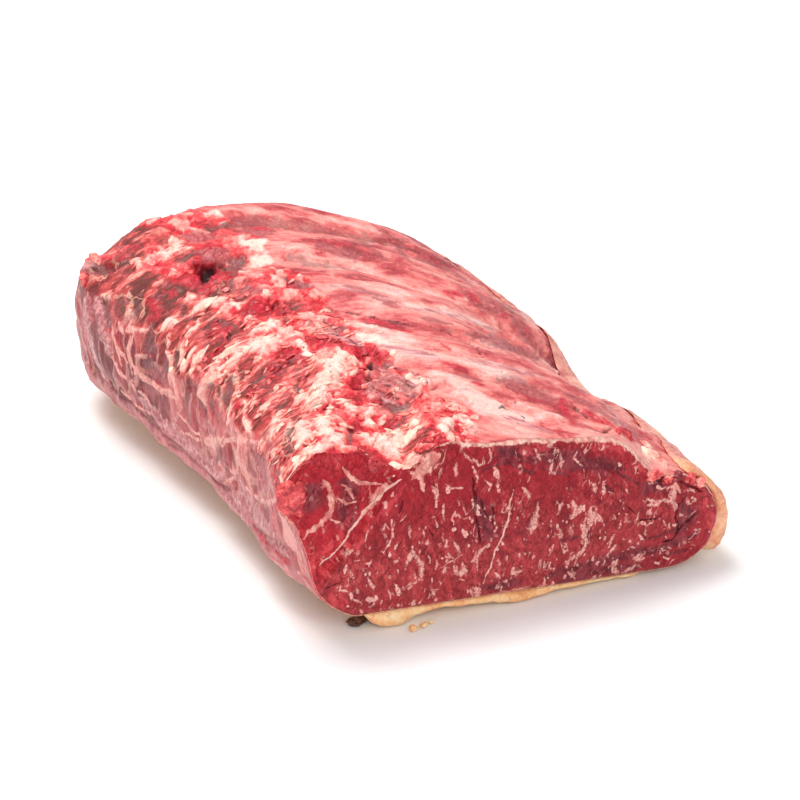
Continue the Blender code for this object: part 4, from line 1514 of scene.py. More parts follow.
@dataclass
class Loin:
    """The dressed lean: its outer skin and its cut end."""

    lean: Lean
    ring_steps: tuple[tuple[int, int, int], ...] = ((0, 44, 172), (44, 88, 148), (88, 149, 166))
    columns: int = 486
    chine_edge: float = -0.034
    cut_across: int = 430
    cut_up: int = 190
    cut_inset: float = 0.0004
    cut_corners: tuple[int, int, int, int] = (14, 46, 133, 143)
    rim: Array = field(default_factory=lambda: np.zeros((0, 3)))
    bed: Array = field(default_factory=lambda: np.zeros((0, 0, 3)))
    bed_fields: Fields = field(default_factory=dict)

    def zones(self, p: Array, n: Array) -> Fields:
        """Says which part of the outside each point belongs to.

        Args:
            p: The points.
            n: Their outward directions.

        Returns:
            A weight from 0 to 1 for each zone.
        """
        x, z = p[..., 0], p[..., 2]
        sway = 0.007 * Grain.smooth(p, 0.022, 11) + 0.005 * Grain.smooth(p, 0.009, 12)
        wander = 1.4 * sway + 0.012 * Grain.smooth(p, 0.055, 13) * ease(p[..., 1], 0.0, 0.06)
        along = (p[..., 1] + 0.17) / 0.35
        low = self.chine_edge - 0.006 + 0.01 * along
        rib = ease(x + wander, low, self.chine_edge + 0.008 + 0.01 * along)
        rib = np.maximum(rib, ease(p[..., 1] + 2 * wander, 0.125, 0.16))
        out = ease(-n[..., 0], 0.4, 0.75)
        wall = out * ease(0.072 - z + sway * 1.6, -0.006, 0.006)
        left = ease(-n[..., 0] + 12 * sway, 0.16, 0.42)
        under = ease(-n[..., 2], 0.55, 0.9)
        hem = wall * ease(0.03 - z + sway * 0.5, -0.003, 0.004)
        zones = {"rib": rib * (1 - wall), "wall": wall, "under": under, "hem": hem}
        zones["shoulder"] = left * (1 - wall) * (1 - rib)
        zones["chine"] = (1 - rib) * (1 - wall)
        return zones

    def tissue(self, p: Array, zone: Fields) -> Fields:
        """Reads the lumps and bundles of the outside.

        Args:
            p: The points.
            zone: The zones.

        Returns:
            Their height, own number and distance to the next.
        """
        strayed = Grain.bend(Grain.bend(p, 0.012, 0.0035, 61), 0.004, 0.001, 65)
        kinds = (
            ("chine", 0.0068, (1.0, 0.85, 1.0), 70),
            ("shoulder", 0.0042, (0.3, 1.0, 0.3), 71),
            ("wall", 0.0125, (0.5, 1.0, 0.42), 72),
            ("rib", 0.011, (0.6, 1.0, 1.0), 73),
        )
        found = {key: np.zeros(p.shape[:-1]) for key in ("lump", "pick", "edge")}
        total = np.full(p.shape[:-1], 1e-6)
        for name, size, stretch, seed in kinds:
            weight = zone[name] * (1 - zone["shoulder"] if name == "chine" else 1.0)
            values = Grain.tissue(strayed * stretch, size, seed)
            for key, value in zip(("lump", "pick", "edge"), values):
                found[key] += weight * value
            total += weight
        return {key: value / total for key, value in found.items()}

    def relief(self, p: Array, zone: Fields, cell: Fields) -> Array:
        """Works out the small relief of the outside.

        Args:
            p: The points.
            zone: The zones.
            cell: The lumps and bundles.

        Returns:
            Heights in metres.
        """
        heap = cell["lump"] * (0.5 + cell["pick"]) - 0.55
        crags = 0.0021 * heap + 0.0011 * Grain.crag(p, 0.012, 3) + 0.0005 * Grain.crag(p, 0.0042, 4)
        drawn = p * (0.25, 1.0, 0.25)
        strands = 0.0012 * heap + 0.001 * Grain.smooth(drawn, 0.003, 15)
        strands += 0.0006 * Grain.smooth(drawn, 0.0015, 16)
        x, y = p[..., 0], p[..., 1]
        turned = np.stack([x * 0.81 - y * 0.58, x * 0.58 + y * 0.81, p[..., 2]], -1)
        bent = turned * (0.3, 1.0, 1.0)
        folds = 0.001 * Grain.smooth(bent, 0.0075, 7) + 0.0005 * Grain.crag(bent, 0.0036, 8)
        upright = p * (0.5, 1.0, 0.22)
        threads = 0.0006 * Grain.smooth(upright, 0.0036, 9) + 0.001 * Grain.smooth(p, 0.014, 10)
        threads += 0.0008 * heap
        chine = zone["chine"] * (1 - zone["shoulder"])
        height = chine * crags + zone["shoulder"] * strands + zone["rib"] * folds + zone["wall"] * threads
        return height * (1 - zone["under"])

    def skin(self) -> list[Piece]:
        """Builds the outer skin in three lengths, closed behind the cut end.

        Returns:
            The pieces.
        """
        places = [np.linspace(a, b, c, endpoint=False) for a, b, c in self.ring_steps]
        last = self.ring_steps[-1][1]
        base = self.lean.finer(np.concatenate([*places, [last]]), self.columns)
        n = grid_normals(base)
        zone = self.zones(base, n)
        cell = self.tissue(base, zone)
        marks = Marks.read(self.lean, base, TOP_STROKES + WALL_STROKES, 0.0011)
        calm = 1 - 0.8 * ease(marks.fields["film"], 0.2, 0.6)
        height = self.relief(base, zone, cell) * calm + marks.relief * (1 - zone["under"])
        rows = np.arange(len(base))[:, None]
        edge = ease(rows, len(base), len(base) - 12)
        points = base + n * (height * edge)[..., None]
        self.rim = points[0]
        fields = {**zone, "pick": cell["pick"], "edge": cell["edge"]}
        fields |= {t: v for t, v in marks.fields.items() if t not in ("seam", "fleck")}
        fields.pop("chine")
        fields["far"] = ease(base[..., 1], -0.06, 0.12)
        low = np.maximum(ease(base[..., 2], 0.075, 0.055), ease(-n[..., 0], 0.5, 0.8))
        fields["front"] = ease(rows, 7, 0) * low * (1 - zone["rib"])
        self.bed = points[::3, ::3]
        bed = {"chine": zone["chine"] * calm, "pick": cell["pick"]}
        bed |= {key: marks.fields[key] for key in ("fat", "blood")}
        self.bed_fields = {key: values[::3, ::3] for key, values in bed.items()}
        pieces, start = [], 0
        material = LoinSkin().make()
        for name, (_, _, count) in zip(("skin_front", "skin_middle", "skin_far"), self.ring_steps):
            rings = points[start : start + count + 1]
            part = {k: v[start : start + count + 1] for k, v in fields.items()}
            if name == "skin_front":
                lip = self.lip(rings[0])
                part = {k: np.concatenate([np.repeat(v[:1], len(lip), axis=0), v]) for k, v in part.items()}
                rings = np.concatenate([lip, rings])
            piece = closed_mesh(name, rings, part)
            piece.data.materials.append(material)
            pieces.append(piece)
            start += count
        return pieces

    def lip(self, rim: Array) -> Array:
        """Rolls the skin's front edge inwards, behind the cut meat.

        Args:
            rim: The skin's first ring.

        Returns:
            Rings, the innermost first.
        """
        inward = self.inward(rim)
        steps = ((0.006, 0.0045), (0.003, 0.002), (0.0014, 0.0006), (0.0006, -0.0004), (0.0002, -0.0004))
        return np.array([rim + inward * a + (0.0, b, 0.0) for a, b in steps])

    def inward(self, rim: Array) -> Array:
        """Gives the way from each point of a rim to the middle of the section.

        Args:
            rim: The rim's points.

        Returns:
            Unit vectors.
        """
        start, _ = self.lean.spokes(0.0)
        columns = len(rim) / len(start)
        spread = between_rows(len(start), np.arange(len(rim)) / columns, True)
        middle = spread @ start
        way = np.stack([middle[:, 0] - rim[:, 0], np.zeros(len(rim)), middle[:, 1] - rim[:, 2]], -1)
        return way / np.linalg.norm(way, axis=-1, keepdims=True)

    def side(self, rim: Array, start: int, stop: int, count: int) -> Array:
        """Reads one side of the rim at even steps.

        Args:
            rim: The rim's points.
            start: Its first point.
            stop: Its last point, past the end if need be.
            count: How many to give.

        Returns:
            The points.
        """
        line = rim[np.arange(start, stop + 1) % len(rim)]
        run = np.concatenate([[0.0], np.cumsum(np.linalg.norm(np.diff(line, axis=0), axis=1))])
        places = np.linspace(0.0, run[-1], count)
        return np.stack([np.interp(places, run, line[:, i]) for i in range(3)], -1)

    def cut_grid(self) -> Array:
        """Fills the cut end's outline with an even grid.

        Returns:
            The points, bottom row first.
        """
        fine = self.rim + self.inward(self.rim) * self.cut_inset
        a, b, c, d = (corner * len(fine) // self.lean.grid.shape[1] for corner in self.cut_corners)
        left = self.side(fine, a, b, self.cut_up)
        top = self.side(fine, b, c, self.cut_across)
        right = self.side(fine, c, d, self.cut_up)[::-1]
        low = self.side(fine, d, a + len(fine), self.cut_across)[::-1]
        u = np.linspace(0, 1, self.cut_across)[None, :, None]
        v = np.linspace(0, 1, self.cut_up)[:, None, None]
        plain = (1 - v) * low[None] + v * top[None] + (1 - u) * left[:, None] + u * right[:, None]
        corners = (1 - u) * (1 - v) * low[0] + u * (1 - v) * low[-1]
        corners = corners + (1 - u) * v * top[0] + u * v * top[-1]
        return plain - corners

    def cut_end(self) -> Piece:
        """Builds the marbled cut end as a fine closed slab.

        Returns:
            The piece.
        """
        face = self.cut_grid()
        x, z = face[..., 0], face[..., 2]
        plane = self.lean.cut_y + self.lean.cut_slope(x, z)
        flat = np.stack([x, plane, z], -1)
        outline = border(flat)
        edge = distance_to_run(flat, np.concatenate([outline, outline[:1]])[::4])
        marks = Marks.read(self.lean, flat, CUT_STROKES, 0.0007, True)
        seam_side = (x + 0.0713) * 0.8 - (z - 0.0785) * 0.6 + 0.0012 * Grain.smooth(flat, 0.012, 21)
        chain = ease(seam_side, 0.0008, -0.0008)
        roll = 0.0012 * (1 - ease(edge, 0.0, 0.0026)) ** 2
        relief = 0.0011 * Grain.smooth(flat, 0.021, 22) + 0.0005 * Grain.smooth(flat, 0.007, 23)
        relief += 0.00028 * Grain.crag(flat * (1.0, 1.0, 0.6), 0.0034, 24)
        relief += chain * (0.0009 * Grain.smooth(flat, 0.005, 26) - 0.0022)
        out = 0.0014 * ease(edge, 0.0, 0.016) - roll + (relief + marks.relief) * ease(edge, 0.0, 0.005)
        flat[..., 1] = plane - out
        fields = {t: v for t, v in marks.fields.items() if t not in ("film", "wine")}
        fields |= {"chain": chain, "rim": self.rim_fat(x, z, edge)}
        fields["cool"] = ease(z, 0.03, 0.07) * 0.55 + 0.45 * ease(x, 0.03, 0.08) * ease(z, 0.05, 0.02)
        fields["warm"] = ease(z, 0.052, 0.012)
        fields["leaning"] = ease(x, 0.01, 0.04)
        fields["many"] = 0.14 + 0.56 * ease(z, 0.068, 0.03) * (0.5 + 0.5 * ease(x, 0.06, 0.0))
        piece = self.slab(flat, fields)
        piece.data.materials.append(CutLean().make())
        return piece

    def slab(self, front: Array, fields: Fields) -> Piece:
        """Gives the cut end a back, so that it is closed.

        Args:
            front: Its front, as a grid of points.
            fields: Numbers for those points.

        Returns:
            The piece.
        """
        rows, columns = front.shape[:2]
        index = np.arange(rows * columns).reshape(rows, columns)
        quads = np.stack([index[:-1, :-1], index[:-1, 1:], index[1:, 1:], index[1:, :-1]], -1)
        loop = border(index)
        points = front.reshape(-1, 3)
        rim = points[loop]
        centre = rim.mean(axis=0)
        back = rim + (centre - rim) * 0.02 + (0.0, 0.005, 0.0)
        after = np.arange(len(loop)) + len(points)
        sides = np.stack([loop, after, np.roll(after, -1), np.roll(loop, -1)], -1)
        values = {k: np.concatenate([v.ravel(), v.ravel()[loop]]) for k, v in fields.items()}
        faces = quads.reshape(-1, 4).tolist() + sides.tolist() + [after[::-1].tolist()]
        return new_piece("cut_end", np.concatenate([points, back]), faces, values)

    def rim_fat(self, x: Array, z: Array, edge: Array) -> Array:
        """Says where a thin rim of fat frames the cut end.

        Args:
            x: Places across.
            z: Places up.
            edge: Distances from the rim.

        Returns:
            A field that is 0.5 on the rim's inner edge.
        """
        place = np.stack([x, np.zeros(x.shape), z], -1)
        wide = 0.0017 + 0.0013 * Grain.smooth(place, 0.01, 31)
        top = ease(z, 0.04, 0.06) * ease(x, -0.06, -0.045)
        wide = wide * top + 0.0001
        return np.clip(1 - edge / (2 * wide), 0.0, 1.0)

    def build(self) -> list[Piece]:
        """Builds the pieces and puts them in the lean's place.

        Returns:
            The pieces.
        """
        pieces = [*self.skin(), self.cut_end()]
        for piece in pieces:
            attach(piece, ROOT)
        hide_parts("lean")
        return pieces


@dataclass
class FatCap:
    """The layer of fat under the lean."""

    node: Piece
    levels: int = 2
    rough: float = 0.0007

    def build(self) -> list[Piece]:
        """Builds the fat cap from its solid, softened and made uneven.

        Returns:
            The piece.
        """
        work = bmesh.new()
        work.from_mesh(self.node.data)
        bmesh.ops.remove_doubles(work, verts=work.verts, dist=1e-6)
        flatness = {"angle_face_threshold": 0.6, "angle_shape_threshold": 1.2}
        bmesh.ops.join_triangles(work, faces=work.faces, **flatness)
        mesh = bpy.data.meshes.new("cap")
        work.to_mesh(mesh)
        work.free()
        piece = put("fat_layer", mesh)
        smooth = piece.modifiers.new("smooth", "SUBSURF")
        smooth.levels = self.levels
        smooth.render_levels = self.levels
        shaped = make_plain(piece)
        bpy.data.meshes.remove(mesh)
        co, no = np.zeros((2, len(shaped.vertices) * 3), np.float32)
        shaped.vertices.foreach_get("co", co)
        shaped.vertices.foreach_get("normal", no)
        p, n = co.reshape(-1, 3).astype(float), no.reshape(-1, 3)
        height = self.rough * Grain.smooth(p, 0.008, 51) + 0.0004 * Grain.crag(p, 0.0035, 52)
        swell = 0.0016 * Grain.smooth(p * (1.0, 0.5, 1.0), 0.016, 55)
        height += swell * ease(p[:, 1], -0.165, -0.14)
        height *= ease(p[:, 2], 0.0002, 0.002)
        p = p + n * height[:, None]
        p[:, 2] = np.maximum(p[:, 2], 0.0)
        shaped.vertices.foreach_set("co", p.astype(np.float32).ravel())
        shaped.shade_smooth()
        shaped.materials.clear()
        x, y, z = p.T
        climb = z + 0.01 * Grain.smooth(p, 0.02, 53) + 0.005 * Grain.smooth(p, 0.007, 54)
        behind = (0.15 + 0.85 * ease(climb, 0.014, 0.046)) * ease(y, -0.17, -0.15) * ease(x, 0.03, 0.07)
        hold(shaped, "side", behind * ease(z, 0.004, 0.012))
        hold(shaped, "flap", ease(x, 0.055, 0.075) * ease(z, 0.003, 0.01))
        shaped.materials.append(RawFat().make())
        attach(piece, ROOT)
        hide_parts("fat_cap")
        return [piece]


@dataclass(frozen=True)
class Lump:
    """One lump on the loin: where it is, how large it is and how pale.

    The sizes are in millimetres: across, up and how far it stands out.
    """

    pixel: Pixel
    across: float
    up: float
    out: float
    tone: float
    turn: float = 0.0
    sink: float = 0.62


LUMPS: tuple[Lump, ...] = (
    Lump((390, 450), 9.0, 6.4, 4.4, 0.98, 0.5, 0.52),
    Lump((408, 438), 8.0, 5.0, 4.0, 0.98, 0.6, 0.52),
    Lump((386, 435), 6.0, 4.2, 3.6, 0.94, 0.2, 0.58),
    Lump((398, 466), 6.4, 3.6, 3.0, 0.86, 0.4, 0.56),
    Lump((412, 466), 6.0, 3.0, 2.6, 0.74, 0.6, 0.6),
    Lump((414, 456), 4.6, 3.0, 3.6, 0.7, 0.9),
    Lump((424, 448), 5.0, 2.6, 3.0, 0.4, 0.2),
    Lump((376, 444), 4.6, 4.0, 3.0, 0.8, 0.0),
    Lump((432, 436), 5.0, 3.4, 2.6, 0.3, 0.2),
    Lump((374, 464), 5.2, 3.2, 2.6, 0.26, -0.4),
    Lump((330, 386), 8.0, 5.0, 3.0, 0.88, 0.5),
    Lump((334, 362), 7.0, 4.0, 2.8, 0.84, 0.1),
    Lump((350, 372), 5.5, 4.0, 2.6, 0.7, 0.6),
    Lump((314, 396), 6.4, 4.4, 3.0, 0.95, 0.5),
    Lump((266, 328), 8.0, 4.0, 3.8, 0.76, 0.5),
    Lump((254, 346), 6.0, 4.0, 2.6, 0.86, 0.4),
    Lump((232, 356), 9.0, 4.6, 2.8, 0.88, 0.5),
    Lump((282, 308), 5.0, 3.4, 3.4, 0.26, 0.2),
    Lump((206, 304), 8.0, 3.4, 2.8, 0.76, -0.1),
    Lump((192, 276), 4.6, 5.6, 3.2, 0.3, 0.1),
    Lump((172, 246), 4.0, 6.4, 3.6, 0.68, 0.2),
    Lump((154, 262), 6.0, 4.4, 3.2, 0.54, 0.6),
    Lump((136, 262), 6.0, 5.0, 3.0, 0.7, 0.0),
    Lump((89, 262), 4.6, 6.6, 6.6, 0.5, 0.2, 0.38),
    Lump((86, 274), 4.4, 6.4, 4.4, 0.46, 0.1, 0.55),
    Lump((124, 250), 6.0, 4.0, 3.4, 0.3, 0.4),
    Lump((222, 332), 4.8, 4.0, 2.8, 0.34, 0.0),
    Lump((216, 330), 2.8, 2.4, 2.8, 0.6, 0.0),
    Lump((294, 502), 6.4, 9.0, 2.8, 0.28, 0.1, 0.8),
    Lump((288, 517), 4.4, 3.0, 2.2, 0.6, 0.3, 0.76),
    Lump((650, 456), 6.6, 4.8, 4.0, 0.76, -0.3, 0.5),
    Lump((662, 464), 6.0, 4.4, 3.8, 0.68, -0.5, 0.5),
    Lump((646, 446), 5.0, 3.0, 3.0, 0.66, -0.3, 0.52),
    Lump((656, 474), 4.6, 2.8, 3.0, 0.46, 0.3, 0.52),
    Lump((676, 458), 4.0, 3.0, 3.0, 0.1, 0.8, 0.5),
    Lump((688, 468), 4.0, 2.8, 3.0, 0.18, 0.2, 0.5),
    Lump((692, 478), 3.2, 2.4, 3.0, 0.4, 0.2, 0.52),
    Lump((702, 482), 3.0, 2.4, 2.8, 0.56, 0.0, 0.54),
    Lump((678, 474), 3.4, 2.8, 2.8, 0.08, 0.0, 0.5),
    Lump((668, 480), 2.6, 2.0, 2.2, 0.34, 0.0, 0.56),
    Lump((628, 434), 4.4, 2.4, 2.4, 0.24, -0.4, 0.56),
    Lump((598, 420), 5.0, 2.6, 2.4, 0.28, -0.4),
    Lump((616, 430), 4.6, 2.2, 2.4, 0.34, -0.4),
    Lump((424, 383), 5.0, 2.4, 2.6, 0.78, -0.1),
    Lump((446, 430), 2.6, 4.4, 2.4, 0.62, 0.3),
    Lump((464, 428), 2.4, 4.4, 2.4, 0.66, 0.2),
    Lump((284, 424), 2.8, 8.0, 2.4, 0.86, -0.4),
    Lump((306, 432), 3.4, 6.4, 2.6, 0.86, -0.3),
    Lump((324, 430), 3.6, 6.0, 2.6, 0.9, 0.3),
)


@dataclass
class Lumps:
    """Lumps of fat and meat that stand out of the lean."""

    lean: Lean
    around: int = 40
    rows: int = 24

    def ball(self, lump: Lump, seed: int) -> tuple[Array, list]:
        """Shapes one lump.

        Args:
            lump: The lump.
            seed: Which noise it gets.

        Returns:
            Its points and its faces.
        """
        tall = np.pi * (np.arange(1, self.rows) / self.rows)
        wide = 2 * np.pi * np.arange(self.around) / self.around
        ring, level = np.sin(tall)[:, None], np.cos(tall)[:, None]
        unit = np.stack([ring * np.cos(wide), ring * np.sin(wide), level * np.ones(self.around)], -1)
        unit = np.concatenate([unit.reshape(-1, 3), [[0.0, 0.0, 1.0], [0.0, 0.0, -1.0]]])
        spots = unit * 0.01 + seed
        lumpy = Grain.tissue(spots, 0.0075, seed)[0]
        reach = 0.72 + 0.42 * Grain.smooth(spots, 0.0085, 80) + 0.34 * lumpy
        reach += 0.14 * Grain.smooth(spots, 0.0032, 81)
        place, out = self.lean.spot(lump.pixel)
        right, _, _ = self.lean.sight.axes()
        side = right - out * (right @ out)
        side /= np.linalg.norm(side)
        rise = np.cross(out, side)
        cos, sin = math.cos(lump.turn), math.sin(lump.turn)
        a = side * cos + rise * sin
        b = rise * cos - side * sin
        shaped = unit * reach[:, None] * (lump.across, lump.up, lump.out) * MM
        points = place - out * lump.out * lump.sink * MM + shaped @ np.stack([a, b, out])
        faces = ring_faces(self.rows - 1, self.around)[:, [0, 3, 2, 1]].tolist()
        top, low = len(unit) - 2, len(unit) - 1
        last = top - self.around
        pairs = [*zip(range(self.around), [*range(1, self.around), 0])]
        faces += [[top, p, q] for p, q in pairs]
        faces += [[low, last + q, last + p] for p, q in pairs]
        return points, faces

    def build(self) -> list[Piece]:
        """Builds the lumps as one piece.

        Returns:
            The piece.
        """
        parts = [self.ball(lump, 100 + number) for number, lump in enumerate(LUMPS)]
        tones = [np.full(len(part[0]), lump.tone) for part, lump in zip(parts, LUMPS)]
        piece = new_piece("fat_lumps", *join_parts(parts), {"tone": np.concatenate(tones)})
        piece.data.materials.append(LumpTissue().make())
        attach(piece, ROOT)
        return [piece]


@dataclass(frozen=True)
class Growth:
    """How one kind of small piece grows on the bone side, sizes in millimetres."""

    name: str
    density: float
    low: Point
    high: Point
    spin: float
    tone: tuple[float, float]
    seed: int


GROWTHS: tuple[Growth, ...] = (
    Growth("fat_crumbs", 13000.0, (1.3, 0.9, 0.3), (3.4, 2.2, 0.7), 3.1, (0.35, 0.75), 3),
    Growth("loose_threads", 8000.0, (3.0, 0.35, 0.22), (6.5, 0.8, 0.45), 0.45, (0.35, 0.8), 8),
)


class Grower:
    """Grows small pieces over the bone side with geometry nodes."""

    def __init__(self, loin: Loin, material: Material) -> None:
        """Lays the bed that they grow on.

        Args:
            loin: The dressed lean.
            material: Their finish.
        """
        self.material = material
        bed, fields = loin.bed, loin.bed_fields
        self.mesh = bpy.data.meshes.new("bed")
        faces = ring_faces(*bed.shape[:2])
        self.mesh.from_pydata(bed.reshape(-1, 3).tolist(), [], faces.tolist())
        spread = fields["chine"] * ease(bed[..., 2], 0.066, 0.08) * ease(bed[..., 1], 0.06, -0.04)
        hold(self.mesh, "spread", spread)
        shade = 0.35 + 0.3 * fields["pick"] + 0.5 * fields["fat"] - 0.4 * fields["blood"]
        hold(self.mesh, "shade", shade)
        flow = np.roll(bed, -1, axis=1) - np.roll(bed, 1, axis=1)
        layer = self.mesh.attributes.new("flow", "FLOAT_VECTOR", "POINT")
        layer.data.foreach_set("vector", flow.astype(np.float32).ravel())

    def tree(self, growth: Growth) -> bpy.types.NodeTree:
        """Builds the node tree for one kind.

        Args:
            growth: The kind.

        Returns:
            The tree, with Density and Seed as inputs.
        """
        tree = bpy.data.node_groups.new(growth.name, "GeometryNodeTree")
        add = partial(add_node, tree)
        for name, kind in (("Geometry", "Geometry"), ("Density", "Float"), ("Seed", "Int")):
            tree.interface.new_socket(name, in_out="INPUT", socket_type="NodeSocket" + kind)
        tree.interface.new_socket("Geometry", in_out="OUTPUT", socket_type="NodeSocketGeometry")
        start = tree.nodes.new("NodeGroupInput").outputs
        read = partial(add, "GeometryNodeInputNamedAttribute")
        single, vector = {"data_type": "FLOAT"}, {"data_type": "FLOAT_VECTOR"}
        spread = read(single, {"Name": "spread"}).outputs[0]
        shade = read(single, {"Name": "shade"}).outputs[0]
        flow = read(vector, {"Name": "flow"}).outputs[0]
        dense = add("ShaderNodeMath", {"operation": "MULTIPLY"}, {0: spread, 1: start["Density"]})
        values = {"Mesh": start["Geometry"], "Density": dense.outputs[0], "Seed": start["Seed"]}
        points = add("GeometryNodeDistributePointsOnFaces", {}, values).outputs
        values = {"Rotation": points["Rotation"], "Vector": flow}
        along = add("FunctionNodeAlignRotationToVector", {"axis": "X", "pivot_axis": "Z"}, values)
        vary = partial(add, "FunctionNodeRandomValue")
        tilt = (0.25, 0.25, growth.spin)
        values = {0: tuple(-angle for angle in tilt), 1: tilt, "Seed": growth.seed + 1}
        turn = add("FunctionNodeEulerToRotation", {}, {0: vary(vector, values).outputs[0]})
        values = {"Rotation": along.outputs[0], "Rotate By": turn.outputs[0]}
        turned = add("FunctionNodeRotateRotation", {"rotation_space": "LOCAL"}, values)
        size = vary(vector, {0: growth.low, 1: growth.high, "Seed": growth.seed + 2})
        ball = add("GeometryNodeMeshUVSphere", {}, {"Segments": 8, "Rings": 5, "Radius": MM})
        values = {"Points": points["Points"], "Instance": ball.outputs["Mesh"]}
        values |= {"Rotation": turned.outputs[0], "Scale": size.outputs[0]}
        grown = add("GeometryNodeInstanceOnPoints", {}, values)
        low, high = growth.tone
        own = vary(single, {2: low - 0.5, 3: high - 0.5, "Seed": growth.seed + 3})
        tone = add("ShaderNodeMath", {"operation": "ADD"}, {0: own.outputs[1], 1: shade})
        settings = {"data_type": "FLOAT", "domain": "INSTANCE"}
        values = {"Geometry": grown.outputs[0], "Name": "tone", "Value": tone.outputs[0]}
        kept = add("GeometryNodeStoreNamedAttribute", settings, values)
        real = add("GeometryNodeRealizeInstances", {}, {"Geometry": kept.outputs[0]})
        place = add("GeometryNodeInputPosition", {}, {})
        values = {"Vector": place.outputs[0], "Scale": 700.0, "Detail": 2.0}
        rough = add("ShaderNodeTexNoise", {}, values)
        values = {0: rough.outputs["Color"], 1: (0.5, 0.5, 0.5)}
        middle = add("ShaderNodeVectorMath", {"operation": "SUBTRACT"}, values)
        values = {0: middle.outputs[0], "Scale": 0.002}
        moved = add("ShaderNodeVectorMath", {"operation": "SCALE"}, values)
        values = {"Geometry": real.outputs[0], "Offset": moved.outputs[0]}
        shaped = add("GeometryNodeSetPosition", {}, values)
        smooth = add("GeometryNodeSetShadeSmooth", {}, {"Geometry": shaped.outputs[0]})
        values = {"Geometry": smooth.outputs[0], "Material": self.material}
        dressed = add("GeometryNodeSetMaterial", {}, values)
        end = tree.nodes.new("NodeGroupOutput")
        tree.links.new(dressed.outputs[0], end.inputs[0])
        return tree

    def build(self) -> list[Piece]:
        """Grows every kind and makes plain pieces of them.

        Returns:
            The pieces.
        """
        pieces = []
        for growth in GROWTHS:
            piece = put(growth.name, self.mesh.copy())
            grow = piece.modifiers.new("grow", "NODES")
            grow.node_group = self.tree(growth)
            inputs = {"Density": growth.density, "Seed": growth.seed}
            for item in grow.node_group.interface.items_tree:
                if item.name in inputs:
                    grow[item.identifier] = inputs[item.name]
            make_plain(piece)
            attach(piece, ROOT)
            pieces.append(piece)
        return pieces


@dataclass(frozen=True)
class Bit:
    """One small loose bit beside the foot: its pixel, half sizes in millimetres and turn."""

    pixel: Pixel
    size: Point
    turn: float


BITS: tuple[Bit, ...] = (
    Bit((361, 617), (5.4, 2.6, 2.4), 0.5),
    Bit((355, 622), (2.6, 3.6, 1.8), 1.1),
    Bit((413, 628), (1.9, 1.5, 1.3), 0.3),
    Bit((424, 625), (1.5, 1.9, 1.2), 0.9),
    Bit((431, 622), (1.2, 1.0, 0.9), 0.0),
)


@dataclass
class Bits:
    """The dried scrap and the crumbs of fat at the foot of the cut end."""

    sight: Sight

    def shape(self, bit: Bit, seed: int) -> tuple[Array, list]:
        """Shapes one bit where its pixel meets the floor.

        Args:
            bit: The bit.
            seed: Which noise it gets.

        Returns:
            Its points and its faces.
        """
        work = bmesh.new()
        bmesh.ops.create_icosphere(work, subdivisions=4, radius=1.0)
        unit = np.array([v.co for v in work.verts])
        spots = unit * 0.01 + seed
        reach = 0.9 + 0.5 * Grain.smooth(spots, 0.011, 90) + 0.2 * Grain.crag(spots, 0.007, 91)
        ray = self.sight.ray(bit.pixel)
        lift = bit.size[2] * MM * 0.9
        place = Vector(self.sight.place) + ray * ((lift - self.sight.place[2]) / ray.z)
        turn = np.array(Matrix.Rotation(-bit.turn, 3, "Z"))
        points = unit * reach[:, None] * bit.size * MM @ turn + np.array(place)
        points[:, 2] = np.maximum(points[:, 2], 0.0)
        work.verts.index_update()
        faces = [[vert.index for vert in face.verts] for face in work.faces]
        work.free()
        return points, faces

    def build(self) -> list[Piece]:
        """Builds the scrap and the crumbs as two pieces.

        Returns:
            The pieces.
        """
        pieces = []
        kinds = (("dried_scrap", Scrap().make(), BITS[:2]), ("fat_bits", RawFat().make(), BITS[2:]))
        for name, finish, bits in kinds:
            parts = [self.shape(bit, 300 + number) for number, bit in enumerate(bits)]
            piece = new_piece(name, *join_parts(parts), {})
            piece.data.materials.append(finish)
            "lean" if name == "dried_scrap" else "fat"
            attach(piece, ROOT)
            pieces.append(piece)
        return pieces


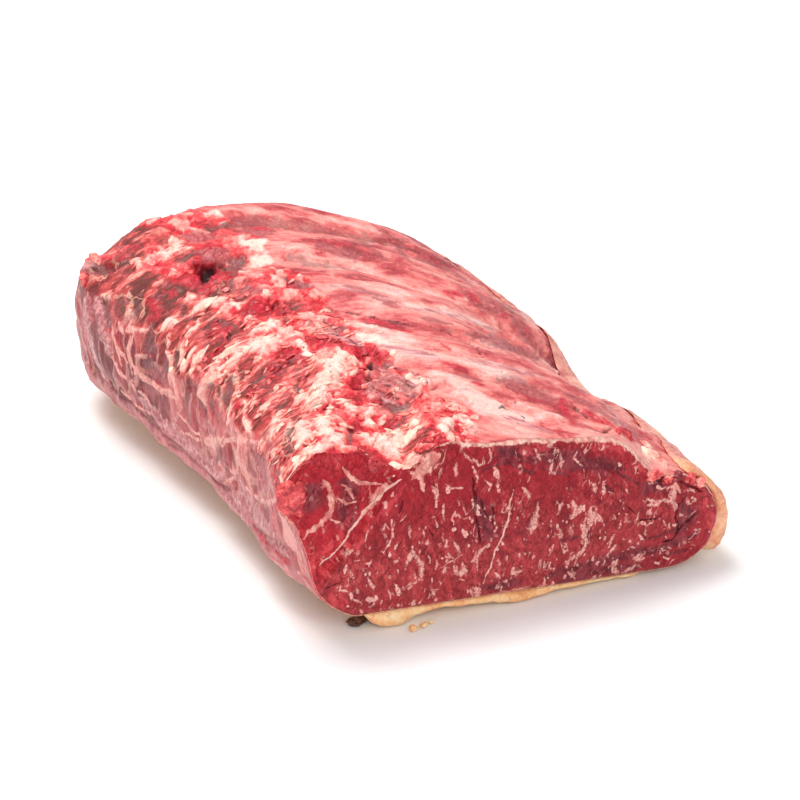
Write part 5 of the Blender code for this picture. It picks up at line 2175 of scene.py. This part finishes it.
@dataclass
class Studio:
    """The pale floor and the soft lights."""

    floor_size: float = 6.0
    world: float = 0.6

    def lamp(self, name: str, place: Point, aim: Point, size: float, power: float) -> None:
        """Adds a square soft light.

        Args:
            name: Its name.
            place: Where it is.
            aim: What it faces.
            size: Its side in metres.
            power: Its power in watts.
        """
        light = bpy.data.lights.new(name, "AREA")
        light.shape = "SQUARE"
        light.size = size
        light.energy = power
        lamp = put(name, light)
        lamp.location = place
        lamp.rotation_euler = (Vector(place) - Vector(aim)).to_track_quat("Z", "Y").to_euler()

    def build(self) -> None:
        """Builds the floor, the lights and the backdrop's light."""
        bpy.ops.mesh.primitive_grid_add(x_subdivisions=8, y_subdivisions=8, size=self.floor_size)
        floor = bpy.context.object
        floor.name = "floor"
        floor.data.materials.append(PaleFloor().make())
        floor.data.transform(Matrix.Translation((0.0, 1.2, -0.0004)))
        world = bpy.data.worlds.new("studio")
        bpy.context.scene.world = world
        world.use_nodes = True
        backdrop = world.node_tree.nodes["Background"].inputs
        backdrop["Color"].default_value = (1.0, 1.0, 1.0, 1.0)
        backdrop["Strength"].default_value = self.world
        self.lamp("key", (-0.25, 0.35, 1.5), (0.0, 0.0, 0.05), 0.9, 23.0)
        self.lamp("front", (-0.5, -1.5, 0.9), (0.0, -0.1, 0.04), 0.8, 10.0)
        view = bpy.context.scene.view_settings
        view.view_transform = "Standard"
        view.look = "None"


def main() -> None:
    """Builds the dressed striploin around the fixed solids."""
    logging.basicConfig(level=logging.INFO, format="%(message)s")
    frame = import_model()
    solid = frame["nodes"]["lean"]
    work = bmesh.new()
    work.from_mesh(solid.data)
    tree = BVHTree.FromBMesh(work)
    work.free()
    sight = Sight()
    sight.make()
    lean = Lean(tree, sight)
    lean.measure()
    LOG.info("lean read as %s points", lean.grid.shape[:2])
    loin = Loin(lean)
    pieces = loin.build()
    pieces += Lumps(lean).build()
    pieces += Grower(loin, LumpTissue().make()).build()
    pieces += Bits(sight).build()
    pieces += FatCap(frame["nodes"]["fat_cap"]).build()
    for piece in pieces:
        LOG.info("%s: %d faces", piece.name, len(piece.data.polygons))
    Studio().build()


if __name__ == "__main__":
    main()
